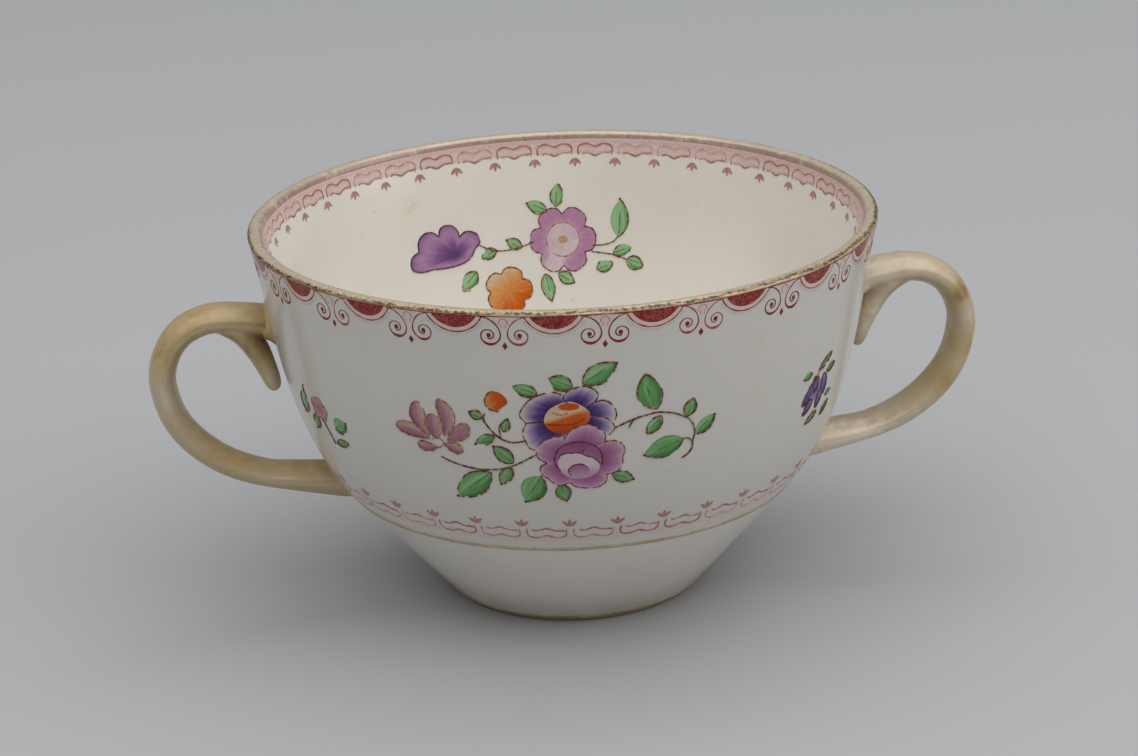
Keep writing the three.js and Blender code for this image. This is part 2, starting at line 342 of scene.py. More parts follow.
STAINS = [
    (29.5, 51.5, outer_radius, 1),
    (28.8, 43.8, outer_radius, 0.7),
    (28.6, 42.1, outer_radius, 0.6),
    (24.3, 38.6, outer_radius, 0.6),
    (-152.3, 51.6, inner_radius, 1.5),
    (150, 45, outer_radius, 0.9),
    (205, 36, outer_radius, 0.8),
]
STAIN_STRENGTH = 0.6
foot_inner = FOOT_RADIUS - FOOT_RING_WIDTH
recess_radius = foot_inner - FOOT_RING_TAPER
edge_size = (FOOT_EDGE, FOOT_EDGE)
lip_middle = (RIM_RADIUS - LIP_WIDTH / 2, LIP_HEIGHT)
lip_size = (LIP_WIDTH / 2, LIP_CROWN)
cone_heights = np.linspace(FOOT_EDGE, SHOULDER_HEIGHT, CONE_ROWS)
cone = [(FOOT_RADIUS + CONE_LEAN * height, height) for height in cone_heights]
bowl_profile = np.vstack(
    [
        [(0, FOOT_RECESS), (recess_radius / 2, FOOT_RECESS)],
        arc((recess_radius - FOOT_EDGE, FOOT_RECESS - FOOT_EDGE), edge_size, 90, 25, EDGE_STEPS),
        arc((foot_inner + FOOT_EDGE, FOOT_EDGE), edge_size, 205, 270, EDGE_STEPS),
        arc((FOOT_RADIUS - FOOT_EDGE, FOOT_EDGE), edge_size, 270, 325, EDGE_STEPS),
        cone[1:],
        outer_wall[1:],
        arc(lip_middle, lip_size, 0, 180, LIP_STEPS)[1:],
        inner_wall[::-1][1:],
        inner_well[1:],
    ]
)

glaze = Finish("white_glaze")
mottling = glaze.noise(55, detail=5)
glaze_colour = glaze.mix(glaze.step(mottling, 0.35, 0.7), GLAZE_WHITE, GLAZE_GREY)
# Painted shade darkens the outer wall above the shoulder.
glaze_colour = glaze.mix(glaze.attribute("outer_wall_shade"), glaze_colour, GLAZE_PAINTED_SHADE)
stain_spots = glaze.math("MULTIPLY", glaze.attribute("stain"), glaze.step(glaze.noise(900), 0.3, 0.65))
glaze_colour = glaze.mix(stain_spots, glaze_colour, TEA_STAIN)
speck_spots = glaze.step(glaze.noise(1100, detail=1), 0.74, 0.8, 0, SPECK_STRENGTH)
glaze_colour = glaze.mix(speck_spots, glaze_colour, GLAZE_SPECK)
up_from_foot = glaze.node("SeparateXYZ", {0: glaze.place()}).outputs["Z"]
# The glaze turns darker and browner towards the foot, broken up by noise.
foot_darkening = glaze.math("MULTIPLY", glaze.step(up_from_foot, FOOT_DARK_REACH * MM, 0), glaze.noise(260))
glaze.set(colour=glaze.mix(foot_darkening, glaze_colour, GLAZE_FOOT_DARK))
glaze.set(roughness=glaze.step(glaze.noise(140), 0.3, 0.7, *GLAZE_ROUGHNESS))
glaze.set(bump=glaze.bump(glaze.noise(420, detail=2), *GLAZE_RIPPLE))

bowl = welded(turned("bowl_glazed", bowl_profile, glaze))
bowl_points = np.array([vertex.co for vertex in bowl.data.vertices]) / MM
stained = np.zeros(len(bowl_points))
for angle, height, radius, reach in STAINS:
    turn = math.radians(angle)
    spot = (radius(height) * math.sin(turn), -radius(height) * math.cos(turn), height)
    stained += np.exp(-np.sum((bowl_points - spot) ** 2, axis=1) / reach**2)
mark(bowl, "stain", np.clip(stained, 0, 1) * STAIN_STRENGTH)
heights = bowl_points[:, 2]
outside = np.hypot(bowl_points[:, 0], bowl_points[:, 1]) > outer_radius(heights) - LIP_WIDTH / 2
# Painted shade: outside points above the shoulder get a rising share of the darker glaze colour.
mark(bowl, "outer_wall_shade", outside * np.interp(heights, OUTER_SHADE_RISE, (0, OUTER_SHADE_SHARE)))
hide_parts("bowl")
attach(bowl, "root")

# The handles: oval straps pressed in a mould with the curled spur in one piece, bent from below the rim out
# and round to the shoulder. They are glazed like the bowl and washed with gold that has worn to ochre. The
# wash carries painted light on the roots and spurs that lie in shade, and some painted shade along the edges.
handle_low, handle_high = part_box("right_handle")
STRAP_WIDTH = (handle_high.y - handle_low.y) / MM
HANDLE_ROOT_HEIGHT = 20
HANDLE_CROWN_HEIGHT = 47.75
HANDLE_STAND = 19.7
STRAP_THICKNESS = (5, 4.3, 4.3, 4.3, 3.8, 5.8)
SPUR_THICKNESS = (3.9, 3.9, 2.5)
SPUR_WIDTH = (7, 7, 4.6)
SPUR_TIP = ((0, 0.74), (0.8, 0.95), (1.6, 1))
STRAP_SPINE = [
    (-0.07, 0.95), (0.175, 0.985), (0.465, 1), (0.68, 0.944), (0.825, 0.85), (0.947, 0.695), (0.983, 0.54),
    (0.973, 0.396), (0.902, 0.26), (0.765, 0.14), (0.562, 0.06), (0.325, 0.022), (-0.04, -0.02),
]
SPUR_SPINE = [(0.375, 0.985), (0.24, 0.91), (0.16, 0.81), (0.126, 0.695), (0.11, 0.562)]
SECTION_SIDES = 28
STRAP_STEP = 0.8
FUSE_VOXEL = 0.3
FUSE_PASSES = 6
FUSE_SOFTNESS = 0.5
# The palest cream serves both for wear and for painted light on roots and spurs that lie in shade.
CREAM_WEAR_AND_PAINTED_LIGHT = (0.83, 0.715, 0.55)
PALE_WEAR = (0.68, 0.575, 0.425)
WORN_IVORY = (0.55, 0.45, 0.315)
OCHRE_GOLD = (0.5, 0.37, 0.185)
DEEP_OCHRE = (0.31, 0.2, 0.075)
CROWN_WEAR_RISE = (39, 46)
ROOT_WASH_REACH = 7
PATCH_FADE = (-1.5, 3.5)
PATCH_REST = 0.3
WASH_CLOUD = 0.16
WASH_SPONGE = (-0.07, 0.09)
WASH_SHEEN = 0.08
WASH_ROUGHNESS = (0.2, 0.34)
WASH_DIMPLE = (0.1, 0.0002)
# Each handle: its side; base share of gold; edge, more gold towards the strap's edges, partly painted shade;
# root, a share near the wall; crown, wear on the loop's top; slip, the collars' share; patches of place,
# reach and share.
HANDLES = {
    "right": {
        "side": 1,
        "base": 0.24,
        "edge": 0.24,
        # Painted light: the negative root share pales the roots, which lie in shade by the wall.
        "root": -0.2,
        "crown": 0.02,
        "slip": 0.05,
        "patches": [
            ((62.9, 43.8), 2.2, 0.85),
            ((64, 34.8), 2.6, 0.5),
            ((60.6, 29), 2.6, 0.4),
            # Painted light: these two paler patches light the lower root, which lies in shade under the
            # bowl's swell.
            ((51, 21), 8, -0.12),
            ((42, 20.5), 6, -0.4),
            # Painted light: a paler patch on the spur, which lies in shade under the crown.
            ((49, 41), 5, -0.3),
        ],
    },
    "left": {
        "side": -1,
        "base": 0.46,
        "edge": 0.3,
        "root": 0.02,
        "crown": -0.18,
        "slip": 0.62,
        "patches": [
            ((46.5, 46.5), 4.5, 0.32),
            ((62.6, 43.4), 2.2, 0.25),
            ((64.8, 36), 4, -0.26),
            # Painted light: a paler patch on the spur, which lies in shade under the loop.
            ((47.5, 36.5), 4.5, -0.55),
        ],
    },
}


def between(first, second, start, end, at):
    """Places on the straight way from a first place to a second one, at times between a start and an end."""
    return ((end - at) * first + (at - start) * second) / (end - start)


def smooth_curve(points, closed=False, steps=8):
    """A smooth line through given points, with even steps between each two (centripetal Catmull-Rom)."""
    inner = np.array(points, float)
    if closed:
        chain = np.vstack([inner[-1:], inner, inner[:2]])
    else:
        chain = np.vstack([2 * inner[:1] - inner[1:2], inner, 2 * inner[-1:] - inner[-2:-1]])
    line = []
    for four in zip(chain, chain[1:], chain[2:], chain[3:]):
        gaps = [math.sqrt(np.linalg.norm(after - here)) for here, after in zip(four, four[1:])]
        knots = np.concatenate([[0], np.cumsum(gaps)])
        at = np.linspace(knots[1], knots[2], steps, endpoint=False)[:, None]
        chords = [between(four[i], four[i + 1], knots[i], knots[i + 1], at) for i in range(3)]
        bends = [between(chords[i], chords[i + 1], knots[i], knots[i + 2], at) for i in range(2)]
        line.append(between(*bends, knots[1], knots[2], at))
    if not closed:
        line.append(inner[-1:])
    return np.vstack(line)


def even_steps(line, spacing):
    """The points of a line at equal steps of about a spacing."""
    lengths = np.concatenate([[0], np.cumsum(np.linalg.norm(np.diff(line, axis=0), axis=1))])
    count = max(2, round(lengths[-1] / spacing))
    at = np.linspace(0, lengths[-1], count + 1)
    return np.column_stack([np.interp(at, lengths, line[:, axis]) for axis in range(line.shape[1])])


def handle_spine(shares):
    """Points of distance from the axis and height, from shares of the handle's stand and rise."""
    places = []
    for stand, rise in shares:
        height = HANDLE_ROOT_HEIGHT + rise * (HANDLE_CROWN_HEIGHT - HANDLE_ROOT_HEIGHT)
        places.append((outer_radius(height) + stand * HANDLE_STAND, height))
    return even_steps(smooth_curve(places), STRAP_STEP)


def tube_faces(rings, sides):
    """Faces of a tube between neighbouring rings of points."""
    faces = []
    for ring in range(rings - 1):
        here, there = ring * sides, (ring + 1) * sides
        for side in range(sides):
            after = (side + 1) % sides
            faces.append((here + side, there + side, there + after, here + after))
    return faces


def oval_rod(spine, thicknesses, widths, tip=((0, 1),)):
    """Points and faces of a closed rod of oval sections along a spine in the handle's plane.
    The tip gives pairs of a distance from the rod's end and a share of its section there."""
    tangents = np.gradient(spine, axis=0)
    tangents /= np.linalg.norm(tangents, axis=1)[:, None]
    shares = np.linspace(0, 1, len(spine))
    thick = np.interp(shares, np.linspace(0, 1, len(thicknesses)), thicknesses) / 2
    wide = np.interp(shares, np.linspace(0, 1, len(widths)), widths) / 2
    rounding = np.interp(STRAP_STEP * np.arange(len(spine))[::-1], *zip(*tip))
    thick, wide = thick * rounding, wide * rounding
    points = []
    for centre, (run, rise), half_thick, half_wide in zip(spine, tangents, thick, wide):
        for side in range(SECTION_SIDES):
            angle = 2 * math.pi * side / SECTION_SIDES
            out = half_thick * math.cos(angle)
            points.append((centre[0] - rise * out, half_wide * math.sin(angle), centre[1] + run * out))
    faces = tube_faces(len(spine), SECTION_SIDES)
    faces.append(tuple(range(SECTION_SIDES)))
    faces.append(tuple(reversed(range(len(points) - SECTION_SIDES, len(points)))))
    return points, faces


def joined(*solids):
    """Points and faces of several solids as one list."""
    points, faces = [], []
    for more_points, more_faces in solids:
        start = len(points)
        points.extend(more_points)
        faces.extend(tuple(corner + start for corner in face) for face in more_faces)
    return points, faces


def fused(piece):
    """Melts a piece's overlapping solids into one skin that keeps to their surfaces and softens the joins."""
    solids = piece.copy()
    bpy.context.scene.collection.objects.link(solids)
    melt = piece.modifiers.new("melt", "REMESH")
    melt.mode = "VOXEL"
    melt.voxel_size = FUSE_VOXEL * MM
    settle = piece.modifiers.new("settle", "SHRINKWRAP")
    settle.target = solids
    soften = piece.modifiers.new("soften", "SMOOTH")
    soften.factor = FUSE_SOFTNESS
    soften.iterations = FUSE_PASSES
    graph = bpy.context.evaluated_depsgraph_get()
    skin = bpy.data.meshes.new_from_object(piece.evaluated_get(graph))
    piece.modifiers.clear()
    piece.data = skin
    bpy.data.objects.remove(solids)
    skin.shade_smooth()


def flip_side(points, side):
    """Points of the right handle, or turned half round the axis for the left one."""
    return [(side * x, side * y, z) for x, y, z in points]


strap_line = handle_spine(STRAP_SPINE)
spur_line = handle_spine(SPUR_SPINE)
loop_centre = strap_line.mean(axis=0)
handle_points, handle_faces = joined(
    oval_rod(strap_line, STRAP_THICKNESS, (STRAP_WIDTH, STRAP_WIDTH)),
    oval_rod(spur_line, SPUR_THICKNESS, SPUR_WIDTH, SPUR_TIP),
)

handle_wash = Finish("handle_gilding")
wash_clouds = handle_wash.step(handle_wash.noise(75), 0.3, 0.7, -WASH_CLOUD, WASH_CLOUD)
wash_sponge = handle_wash.step(handle_wash.noise(650), 0.35, 0.7, *WASH_SPONGE)
wash_share = handle_wash.math("ADD", handle_wash.attribute("wash"), wash_clouds)
wash_share = handle_wash.math("ADD", wash_share, wash_sponge, clamp=True)
wash_stops = [(0, CREAM_WEAR_AND_PAINTED_LIGHT), (0.1, PALE_WEAR), (0.3, WORN_IVORY), (0.66, OCHRE_GOLD), (1, DEEP_OCHRE)]
handle_wash.set(colour=handle_wash.ramp(wash_share, wash_stops), metallic=WASH_SHEEN)
handle_wash.set(roughness=handle_wash.step(wash_clouds, -WASH_CLOUD, WASH_CLOUD, *WASH_ROUGHNESS))
handle_wash.set(bump=handle_wash.bump(handle_wash.noise(500, detail=3), *WASH_DIMPLE))


def gold_share_and_painted_light(spots, look):
    """Share of gold at points of a handle: its base, more along the strap's edges, partly as painted shade
    there, changed at the roots and on the crown, with patches round places in the handle's plane that fade
    towards the back. A negative root share and paler patches paint light on roots and spurs that lie in
    shade."""
    plane = np.column_stack([look["side"] * spots[:, 0], spots[:, 2]])
    gaps = np.linalg.norm(plane[:, None] - strap_line[None], axis=2)
    nearest = strap_line[np.argmin(gaps, axis=1)]
    edges = np.clip(np.min(gaps, axis=1) / (STRAP_THICKNESS[1] / 2), 0, 1) ** 2
    outward = np.linalg.norm(plane - loop_centre, axis=1) > np.linalg.norm(nearest - loop_centre, axis=1)
    crown = np.interp(plane[:, 1], CROWN_WEAR_RISE, (0, 1)) * outward
    roots = np.clip(1 - (plane[:, 0] - outer_radius(plane[:, 1])) / ROOT_WASH_REACH, 0, 1)
    # A negative root share paints light on roots in shade by the wall; the edge share is partly painted
    # shade.
    gold = look["base"] + look["edge"] * edges * (1 - crown) + look["root"] * roots - look["crown"] * crown
    fade = np.interp(spots[:, 1], PATCH_FADE, (1, PATCH_REST))
    for spot, reach, amount in look["patches"]:
        gold += amount * fade * np.exp(-np.sum((plane - spot) ** 2, axis=1) / reach**2)
    return gold


for side_name, look in HANDLES.items():
    side_points = flip_side(handle_points, look["side"])
    handle = mesh_piece(f"{side_name}_handle_strap", side_points, handle_faces, handle_wash)
    fused(handle)
    spots = np.array([vertex.co for vertex in handle.data.vertices]) / MM
    mark(handle, "wash", gold_share_and_painted_light(spots, look))
    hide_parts(f"{side_name}_handle")
    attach(handle, "root")

# The slip: a collar of soft clay squeezed out round each handle end where it was pressed to the wall.
# It is smoothed to a fillet with a wet brush and carries the same glaze and gold wash as the handle.
SLIP_SPREAD = 1.2
SLIP_LENGTH = 1.7
SLIP_SINK = 0.15
SLIP_INSET = 0.15
SLIP_HOLLOW = 2.2
SLIP_SIDES = 48
SLIP_ROWS = 8


def slip_collar(height, half_thick, half_wide):
    """Points and faces of a flared collar on the wall round a handle end at a height."""
    points = []
    for row in range(SLIP_ROWS + 1):
        share = row / SLIP_ROWS
        spread = SLIP_SPREAD * (1 - share) ** SLIP_HOLLOW - SLIP_INSET * share
        for side in range(SLIP_SIDES):
            angle = 2 * math.pi * side / SLIP_SIDES
            across = (half_wide + spread) * math.cos(angle)
            up = height + (half_thick + spread) * math.sin(angle)
            wall = math.sqrt(outer_radius(up) ** 2 - across**2)
            points.append((wall - SLIP_SINK + share * SLIP_LENGTH, across, up))
    faces = [(a, d, c, b) for a, b, c, d in tube_faces(SLIP_ROWS + 1, SLIP_SIDES)]
    faces.append(tuple(reversed(range(SLIP_SIDES))))
    faces.append(tuple(range(len(points) - SLIP_SIDES, len(points))))
    return points, faces


slip_ends = {
    "upper": (strap_line[0][1], STRAP_THICKNESS[0] / 2),
    "lower": (strap_line[-1][1], STRAP_THICKNESS[-1] / 2),
}
for side_name, look in HANDLES.items():
    for end_name, (end_height, half_thick) in slip_ends.items():
        collar_points, collar_faces = slip_collar(end_height, half_thick, STRAP_WIDTH / 2)
        collar = mesh_piece(
            f"{side_name}_{end_name}_slip_collar",
            flip_side(collar_points, look["side"]),
            collar_faces,
            handle_wash,
        )
        mark(collar, "wash", [look["slip"]] * len(collar_points))
        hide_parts(f"{side_name}_{end_name}_slip")
        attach(collar, "root")

# The rim border: half moons, scrolls and lozenges in maroon, printed from a transfer under the rim.
# The colour lies on the glaze as a thin fired enamel, worn and speckled, over a faint pink.
ENAMEL_LIFT = 0.02
ENAMEL_LAYER = 0.006
ENAMEL_SINK = 0.03
ENAMEL_SHINE = 0.2
ENAMEL_ROUGHNESS = 0.22
ENAMEL_RIDGE = (0.15, 0.0001)
STREAK_SCALE = 7
STREAK_STRETCH = (1, 0.18, 5.3)
SLOPE_PROBE = 0.1
STROKE_STEP = 0.3
STROKE_WAVER = 0.3
STROKE_SWING = (0.2, 1)
STROKE_SHADE = 0.2
STROKE_BEAT = 4
STROKE_TIP = 0.5
STROKE_TIP_WIDTH = 0.45
DASH_STEPS = (5, 15)
DASH_LEAST = 5
GAP_STEPS = (1, 3)
FAN_STEP = 0.45
DOT_SIDES = 10
EDGE_ANGLE = math.radians(50)


def on_outside(angles, heights, lifts):
    """Points on the outer wall, at angles from the front towards the right handle."""
    rise = outer_radius(heights + SLOPE_PROBE) - outer_radius(heights - SLOPE_PROBE)
    slope = rise / (2 * SLOPE_PROBE)
    tilt = np.sqrt(1 + slope**2)
    radius = outer_radius(heights) + lifts / tilt
    turn = np.radians(angles)
    return np.column_stack([radius * np.sin(turn), -radius * np.cos(turn), heights - lifts * slope / tilt])


def on_inside(angles, heights, lifts):
    """Points on the inner wall, at angles from the far side towards the right handle."""
    radius = inner_radius(heights) - lifts
    turn = np.radians(angles)
    return np.column_stack([radius * np.sin(turn), radius * np.cos(turn), heights])


class Brushwork:
    """Enamel on one wall: thin patches and strokes gathered in one closed mesh.
    Places are degrees round the wall and heights. Flat places are millimetres on the wall laid open,
    where a degree is as long as it is at one chosen height."""

    def __init__(self, wall, height, turn=0, lift=ENAMEL_LIFT, seed=1, beat=STROKE_BEAT, shade=STROKE_SHADE):
        self.wall = wall
        self.turn = turn
        self.lift = lift
        self.beat = beat
        self.shade = shade
        sample = wall(np.zeros(1), np.full(1, height), np.zeros(1))[0]
        self.degree = math.radians(float(np.hypot(*sample[:2])))
        self.random = random.Random(seed)
        self.places, self.faces, self.tones, self.grains = [], [], [], []
        self.patches = 0

    def flat(self, places):
        """Flat places from degrees and heights."""
        return np.array(places, float) * (self.degree, 1)

    def grid(self, rows, tones, wrap=False, layer=0):
        """Faces between rows of flat places. A row of one place closes the patch to a tip."""
        self.patches += 1
        starts = []
        for along, (row, tone) in enumerate(zip(rows, tones)):
            starts.append((len(self.places), len(row)))
            tone = np.broadcast_to(tone, len(row))
            for across, (place, value) in enumerate(zip(row, tone)):
                self.places.append((*place, self.lift + layer * ENAMEL_LAYER))
                self.tones.append(value)
                self.grains.append((across / max(len(row) - 1, 1), along / len(rows), self.patches))
        for (low, low_size), (high, high_size) in zip(starts, starts[1:]):
            size = max(low_size, high_size)
            for here in range(size if wrap else size - 1):
                after = (here + 1) % size
                corners = [
                    low + min(here, low_size - 1),
                    low + min(after, low_size - 1),
                    high + min(after, high_size - 1),
                    high + min(here, high_size - 1),
                ]
                self.faces.append(tuple(dict.fromkeys(corners)))

    def fan(self, heart, edge, tone, closed=False, rings=8, layer=0):
        """A patch from a heart out to an edge. Its tone follows pairs of share and tone on the way out,
        or a function of angles and heights."""
        line = even_steps(smooth_curve(self.flat(edge), closed=closed), FAN_STEP)
        heart = self.flat(heart)
        shares = np.linspace(0, 1, rings + 1)
        rows = [heart[None], *(heart + (line - heart) * share for share in shares[1:])]
        if callable(tone):
            tones = [tone(row[:, 0] / self.degree, row[:, 1]) for row in rows]
        else:
            tones = np.interp(shares, *zip(*tone))
        self.grid(rows, tones, wrap=closed, layer=layer)

    def blade_rows(self, base, tip, half_width, bend=0, fullness=0.8, belly=0.9, rows=12, columns=6):
        """Rows of flat places across a leaf or a narrow petal, from its base to its tip."""
        base, tip = self.flat(base), self.flat(tip)
        side = np.array([base[1] - tip[1], tip[0] - base[0]]) / np.linalg.norm(tip - base)
        result = [base[None]]
        for share in np.linspace(0, 1, rows + 1)[1:-1]:
            middle = base + (tip - base) * share + side * bend * 4 * share * (1 - share)
            half = half_width * math.sin(math.pi * share**belly) ** fullness
            result.append(np.array([middle + side * half * c for c in np.linspace(-1, 1, columns + 1)]))
        return [*result, tip[None]]

    def blade(
        self, base, tip, half_width, tone, along=0, rim=0, light=(0, 0), shift=(0, 0), layer=0, **shape
    ):
        """A leaf or narrow petal. Its tone may rise along it, rise across it towards a light
        and fall at its rim."""
        rows = [row + shift for row in self.blade_rows(base, tip, half_width, **shape)]
        run, rise = self.flat(tip) - self.flat(base)
        lean = 0.5 * np.dot((-rise, run), light) / math.hypot(run, rise)
        tones = []
        for place, row in zip(np.linspace(-0.5, 0.5, len(rows)), rows):
            across = np.linspace(-1, 1, len(row)) if len(row) > 1 else np.zeros(1)
            tones.append(tone + along * place + lean * across - rim * across**2)
        self.grid(rows, tones, layer=layer)

    def ribbon(self, line, width, tone=None, layer=0):
        """A stroke of a varying width along flat places, thinner at its two tips."""
        count = len(line)
        along = np.gradient(line, axis=0)
        along /= np.linalg.norm(along, axis=1)[:, None] + 1e-9
        side = np.column_stack([-along[:, 1], along[:, 0]])
        knots = np.arange(0, count + self.beat, self.beat)
        swing = [(-1) ** order * self.random.uniform(*STROKE_SWING) for order in range(len(knots))]
        waver = np.interp(np.arange(count), knots, swing)
        steps = np.linalg.norm(np.diff(line, axis=0), axis=1)
        walked = np.concatenate([[0], np.cumsum(steps)])
        tips = np.clip(np.minimum(walked, walked[-1] - walked) / STROKE_TIP + STROKE_TIP_WIDTH, 0, 1)
        half = (np.broadcast_to(width, count) / 2 * (1 + STROKE_WAVER * waver) * tips)[:, None]
        shade = self.random.random() if tone is None else tone
        rows = list(np.stack([line - side * half, line + side * half], axis=1))
        self.grid(rows, np.clip(shade - self.shade * waver, 0, 1), layer=layer)

    def stroke(self, places, width, broken=0, gaps=GAP_STEPS, tone=None, layer=0, flat=False, closed=False):
        """A hand-drawn line through places, with a share of it left out in short breaks."""
        line = np.array(places, float) if flat else self.flat(places)
        line = even_steps(smooth_curve(line, closed=closed), STROKE_STEP)
        start = 0
        while start < len(line) - 2:
            length = self.random.randint(*DASH_STEPS) if broken else len(line)
            if len(line) - start - length < DASH_LEAST:
                length = len(line)
            self.ribbon(line[start : start + length + 1], width, tone, layer)
            start += length
            if self.random.random() < broken:
                start += self.random.randint(*gaps)

    def dot(self, place, half_size, tone=0, layer=0):
        """A small oval spot."""
        turns = np.linspace(0, 2 * math.pi, DOT_SIDES, endpoint=False)
        heart = self.flat(place)
        edge = heart + np.column_stack([np.cos(turns) * half_size[0], np.sin(turns) * half_size[1]])
        self.grid([heart[None], edge], [tone, tone], wrap=True, layer=layer)

    def fire(self, name, finish, slot="white_glaze"):
        """Makes the piece: a skin with its underside sunk in the glaze, closed round its edges."""
        data = np.array(self.places)
        angles = data[:, 0] / self.degree + self.turn
        top = self.wall(angles, data[:, 1], data[:, 2])
        under = self.wall(angles, data[:, 1], np.full(len(data), -ENAMEL_SINK))
        count = len(data)
        faces = []
        for face in self.faces:
            corners = data[list(face), :2]
            after = np.roll(corners, -1, axis=0)
            area = np.sum(corners[:, 0] * after[:, 1] - after[:, 0] * corners[:, 1])
            faces.append(face if area > 0 else tuple(reversed(face)))
        edges = {(a, b) for face in faces for a, b in zip(face, face[1:] + face[:1])}
        sides = [(b, a, a + count, b + count) for a, b in edges if (b, a) not in edges]
        bottoms = [tuple(corner + count for corner in reversed(face)) for face in faces]
        piece = mesh_piece(name, np.vstack([top, under]), faces + bottoms + sorted(sides), finish)
        piece.data.set_sharp_from_angle(angle=EDGE_ANGLE)
        mark(piece, "tone", self.tones * 2)
        grain = piece.data.attributes.new("grain", "FLOAT_VECTOR", "POINT")
        grain.data.foreach_set("vector", np.array(self.grains * 2, np.float32).ravel())
        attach(piece, "root")


def enamel(name, stops, streak=0.25, speckle=0):
    """A finish of fired enamel: colours by tone, with brush streaks that run along each patch."""
    finish = Finish(name)
    grain = finish.node("Attribute", {}, attribute_name="grain").outputs["Vector"]
    stretched = finish.node("VectorMath", {0: grain, 1: STREAK_STRETCH}, operation="MULTIPLY").outputs[0]
    brush = finish.noise(STREAK_SCALE, detail=3, vector=stretched)
    shift = finish.step(brush, 0.25, 0.75, -streak, streak)
    tone = finish.math("ADD", finish.attribute("tone"), shift, clamp=True)
    if speckle:
        grit = finish.step(finish.noise(2600, detail=2), 0.35, 0.65, -speckle, speckle)
        tone = finish.math("ADD", tone, grit, clamp=True)
    finish.set(colour=finish.ramp(tone, stops), roughness=ENAMEL_ROUGHNESS)
    finish.set(bump=finish.bump(brush, *ENAMEL_RIDGE))
    finish.feed(finish.shader, {"Specular IOR Level": ENAMEL_SHINE})
    return finish


MAROON_DARK = (0.195, 0.017, 0.014)
MAROON = (0.277, 0.034, 0.027)
MAROON_WORN = (0.44, 0.13, 0.105)
PINK_PRINT = (0.56, 0.32, 0.3)
HALO_FAINT = (0.69, 0.625, 0.56)
HALO_PINK = (0.68, 0.53, 0.46)
HALO_LIFT = 0.012
MOON_COUNT = 21
MOON_FIRST = -9.1
MOON_TOP = 60.2
MOON_SIZE = (3.45, 2.1)
MOON_STEPS = 25
MOON_TONE = 0.4
MOON_ARC_SIZE = (4.2, 2.8)
MOON_LINE_WIDTH = 0.2
MOON_HALO_TONES = (0.6, 0.9)
FRINGE_TICKS = 26
FRINGE_MARGIN = 2
FRINGE_GAP = 0.3
FRINGE_LENGTH = 0.32
FRINGE_WIDTH = 0.13
FRINGE_TONE = 0.5
SCROLL_STEM = [(-4.2, 60.2), (-2.3, 59.65), (-1.1, 58.6)]
SCROLL_EYE = (-2.66, 57.05)
SCROLL_REACH = (1.74, 0.42)
SCROLL_TURN = (8, -486)
SCROLL_STEPS = 26
SCROLL_WINDING = 0.85
SCROLL_WIDTH = (0.19, 0.4)
SCROLL_BELLY = (56.8, 1.2)
SCROLL_DOT = (0.34, 0.38)
SCROLL_DOT_RISE = 0.05
LOZENGE_HEIGHT = 55.4
LOZENGE_SIZE = (0.4, 0.64)
LOZENGE_TONE = 0.2
TREFOIL_HEART = 59.4
TREFOIL_HALO_TONE = ((0, 0.6), (1, 0.3))
TREFOIL_WIDTH = 0.14
TREFOIL_TONE = 0.3
STALK_SPREAD = 0.4
STALK_TAPER = 0.8
STALK_HEIGHTS = (58.9, 58.25)
STALK_WIDTH = 0.12
STALK_TONE = 0.5
RIM_THREAD_HEIGHT = 60.14
RIM_THREAD_WIDTH = 0.2
RIM_THREAD_TONE = 0.6


def mirrored(half, *middle):
    """Places on the left of an axis, those on it and the same again on the right."""
    return [*half, *middle, *((-across, up) for across, up in reversed(half))]


TREFOIL_HALO = mirrored([(-2.2, 60.1), (-1.1, 59.2), (-0.7, 58.2)])
TREFOIL = mirrored([(-0.75, 58.85), (-0.65, 59.45)], (0, 59.85))
moon_step = 360 / MOON_COUNT
moons = Brushwork(on_outside, LOZENGE_HEIGHT, seed=11)
maroon_lines = Brushwork(on_outside, LOZENGE_HEIGHT, seed=12)
pale_lines = Brushwork(on_outside, LOZENGE_HEIGHT, seed=13)
halos = Brushwork(on_outside, LOZENGE_HEIGHT, lift=HALO_LIFT, seed=14)


def bow(middle, half_width, depth, count):
    """Flat places along an arc of a circle that hangs below its ends, and the arc's outward directions."""
    reach = (half_width**2 + depth**2) / (2 * depth)
    turns = np.linspace(1, -1, count) * math.asin(half_width / reach)
    ways = np.column_stack([np.sin(turns), -np.cos(turns)])
    return np.array(middle) + (0, reach - depth) + ways * reach, ways


def scroll(axis, side):
    """A stem from under the rim that winds into a shrinking spiral beside its axis."""
    turns = np.radians(np.linspace(*SCROLL_TURN, SCROLL_STEPS))
    shares = np.linspace(0, 1, SCROLL_STEPS)
    reach = SCROLL_REACH[0] + (SCROLL_REACH[1] - SCROLL_REACH[0]) * shares**SCROLL_WINDING
    spiral = [
        (SCROLL_EYE[0] + r * math.cos(t) / maroon_lines.degree, SCROLL_EYE[1] + r * math.sin(t))
        for t, r in zip(turns, reach)
    ]
    return [(axis + side * angle, height) for angle, height in SCROLL_STEM + spiral]


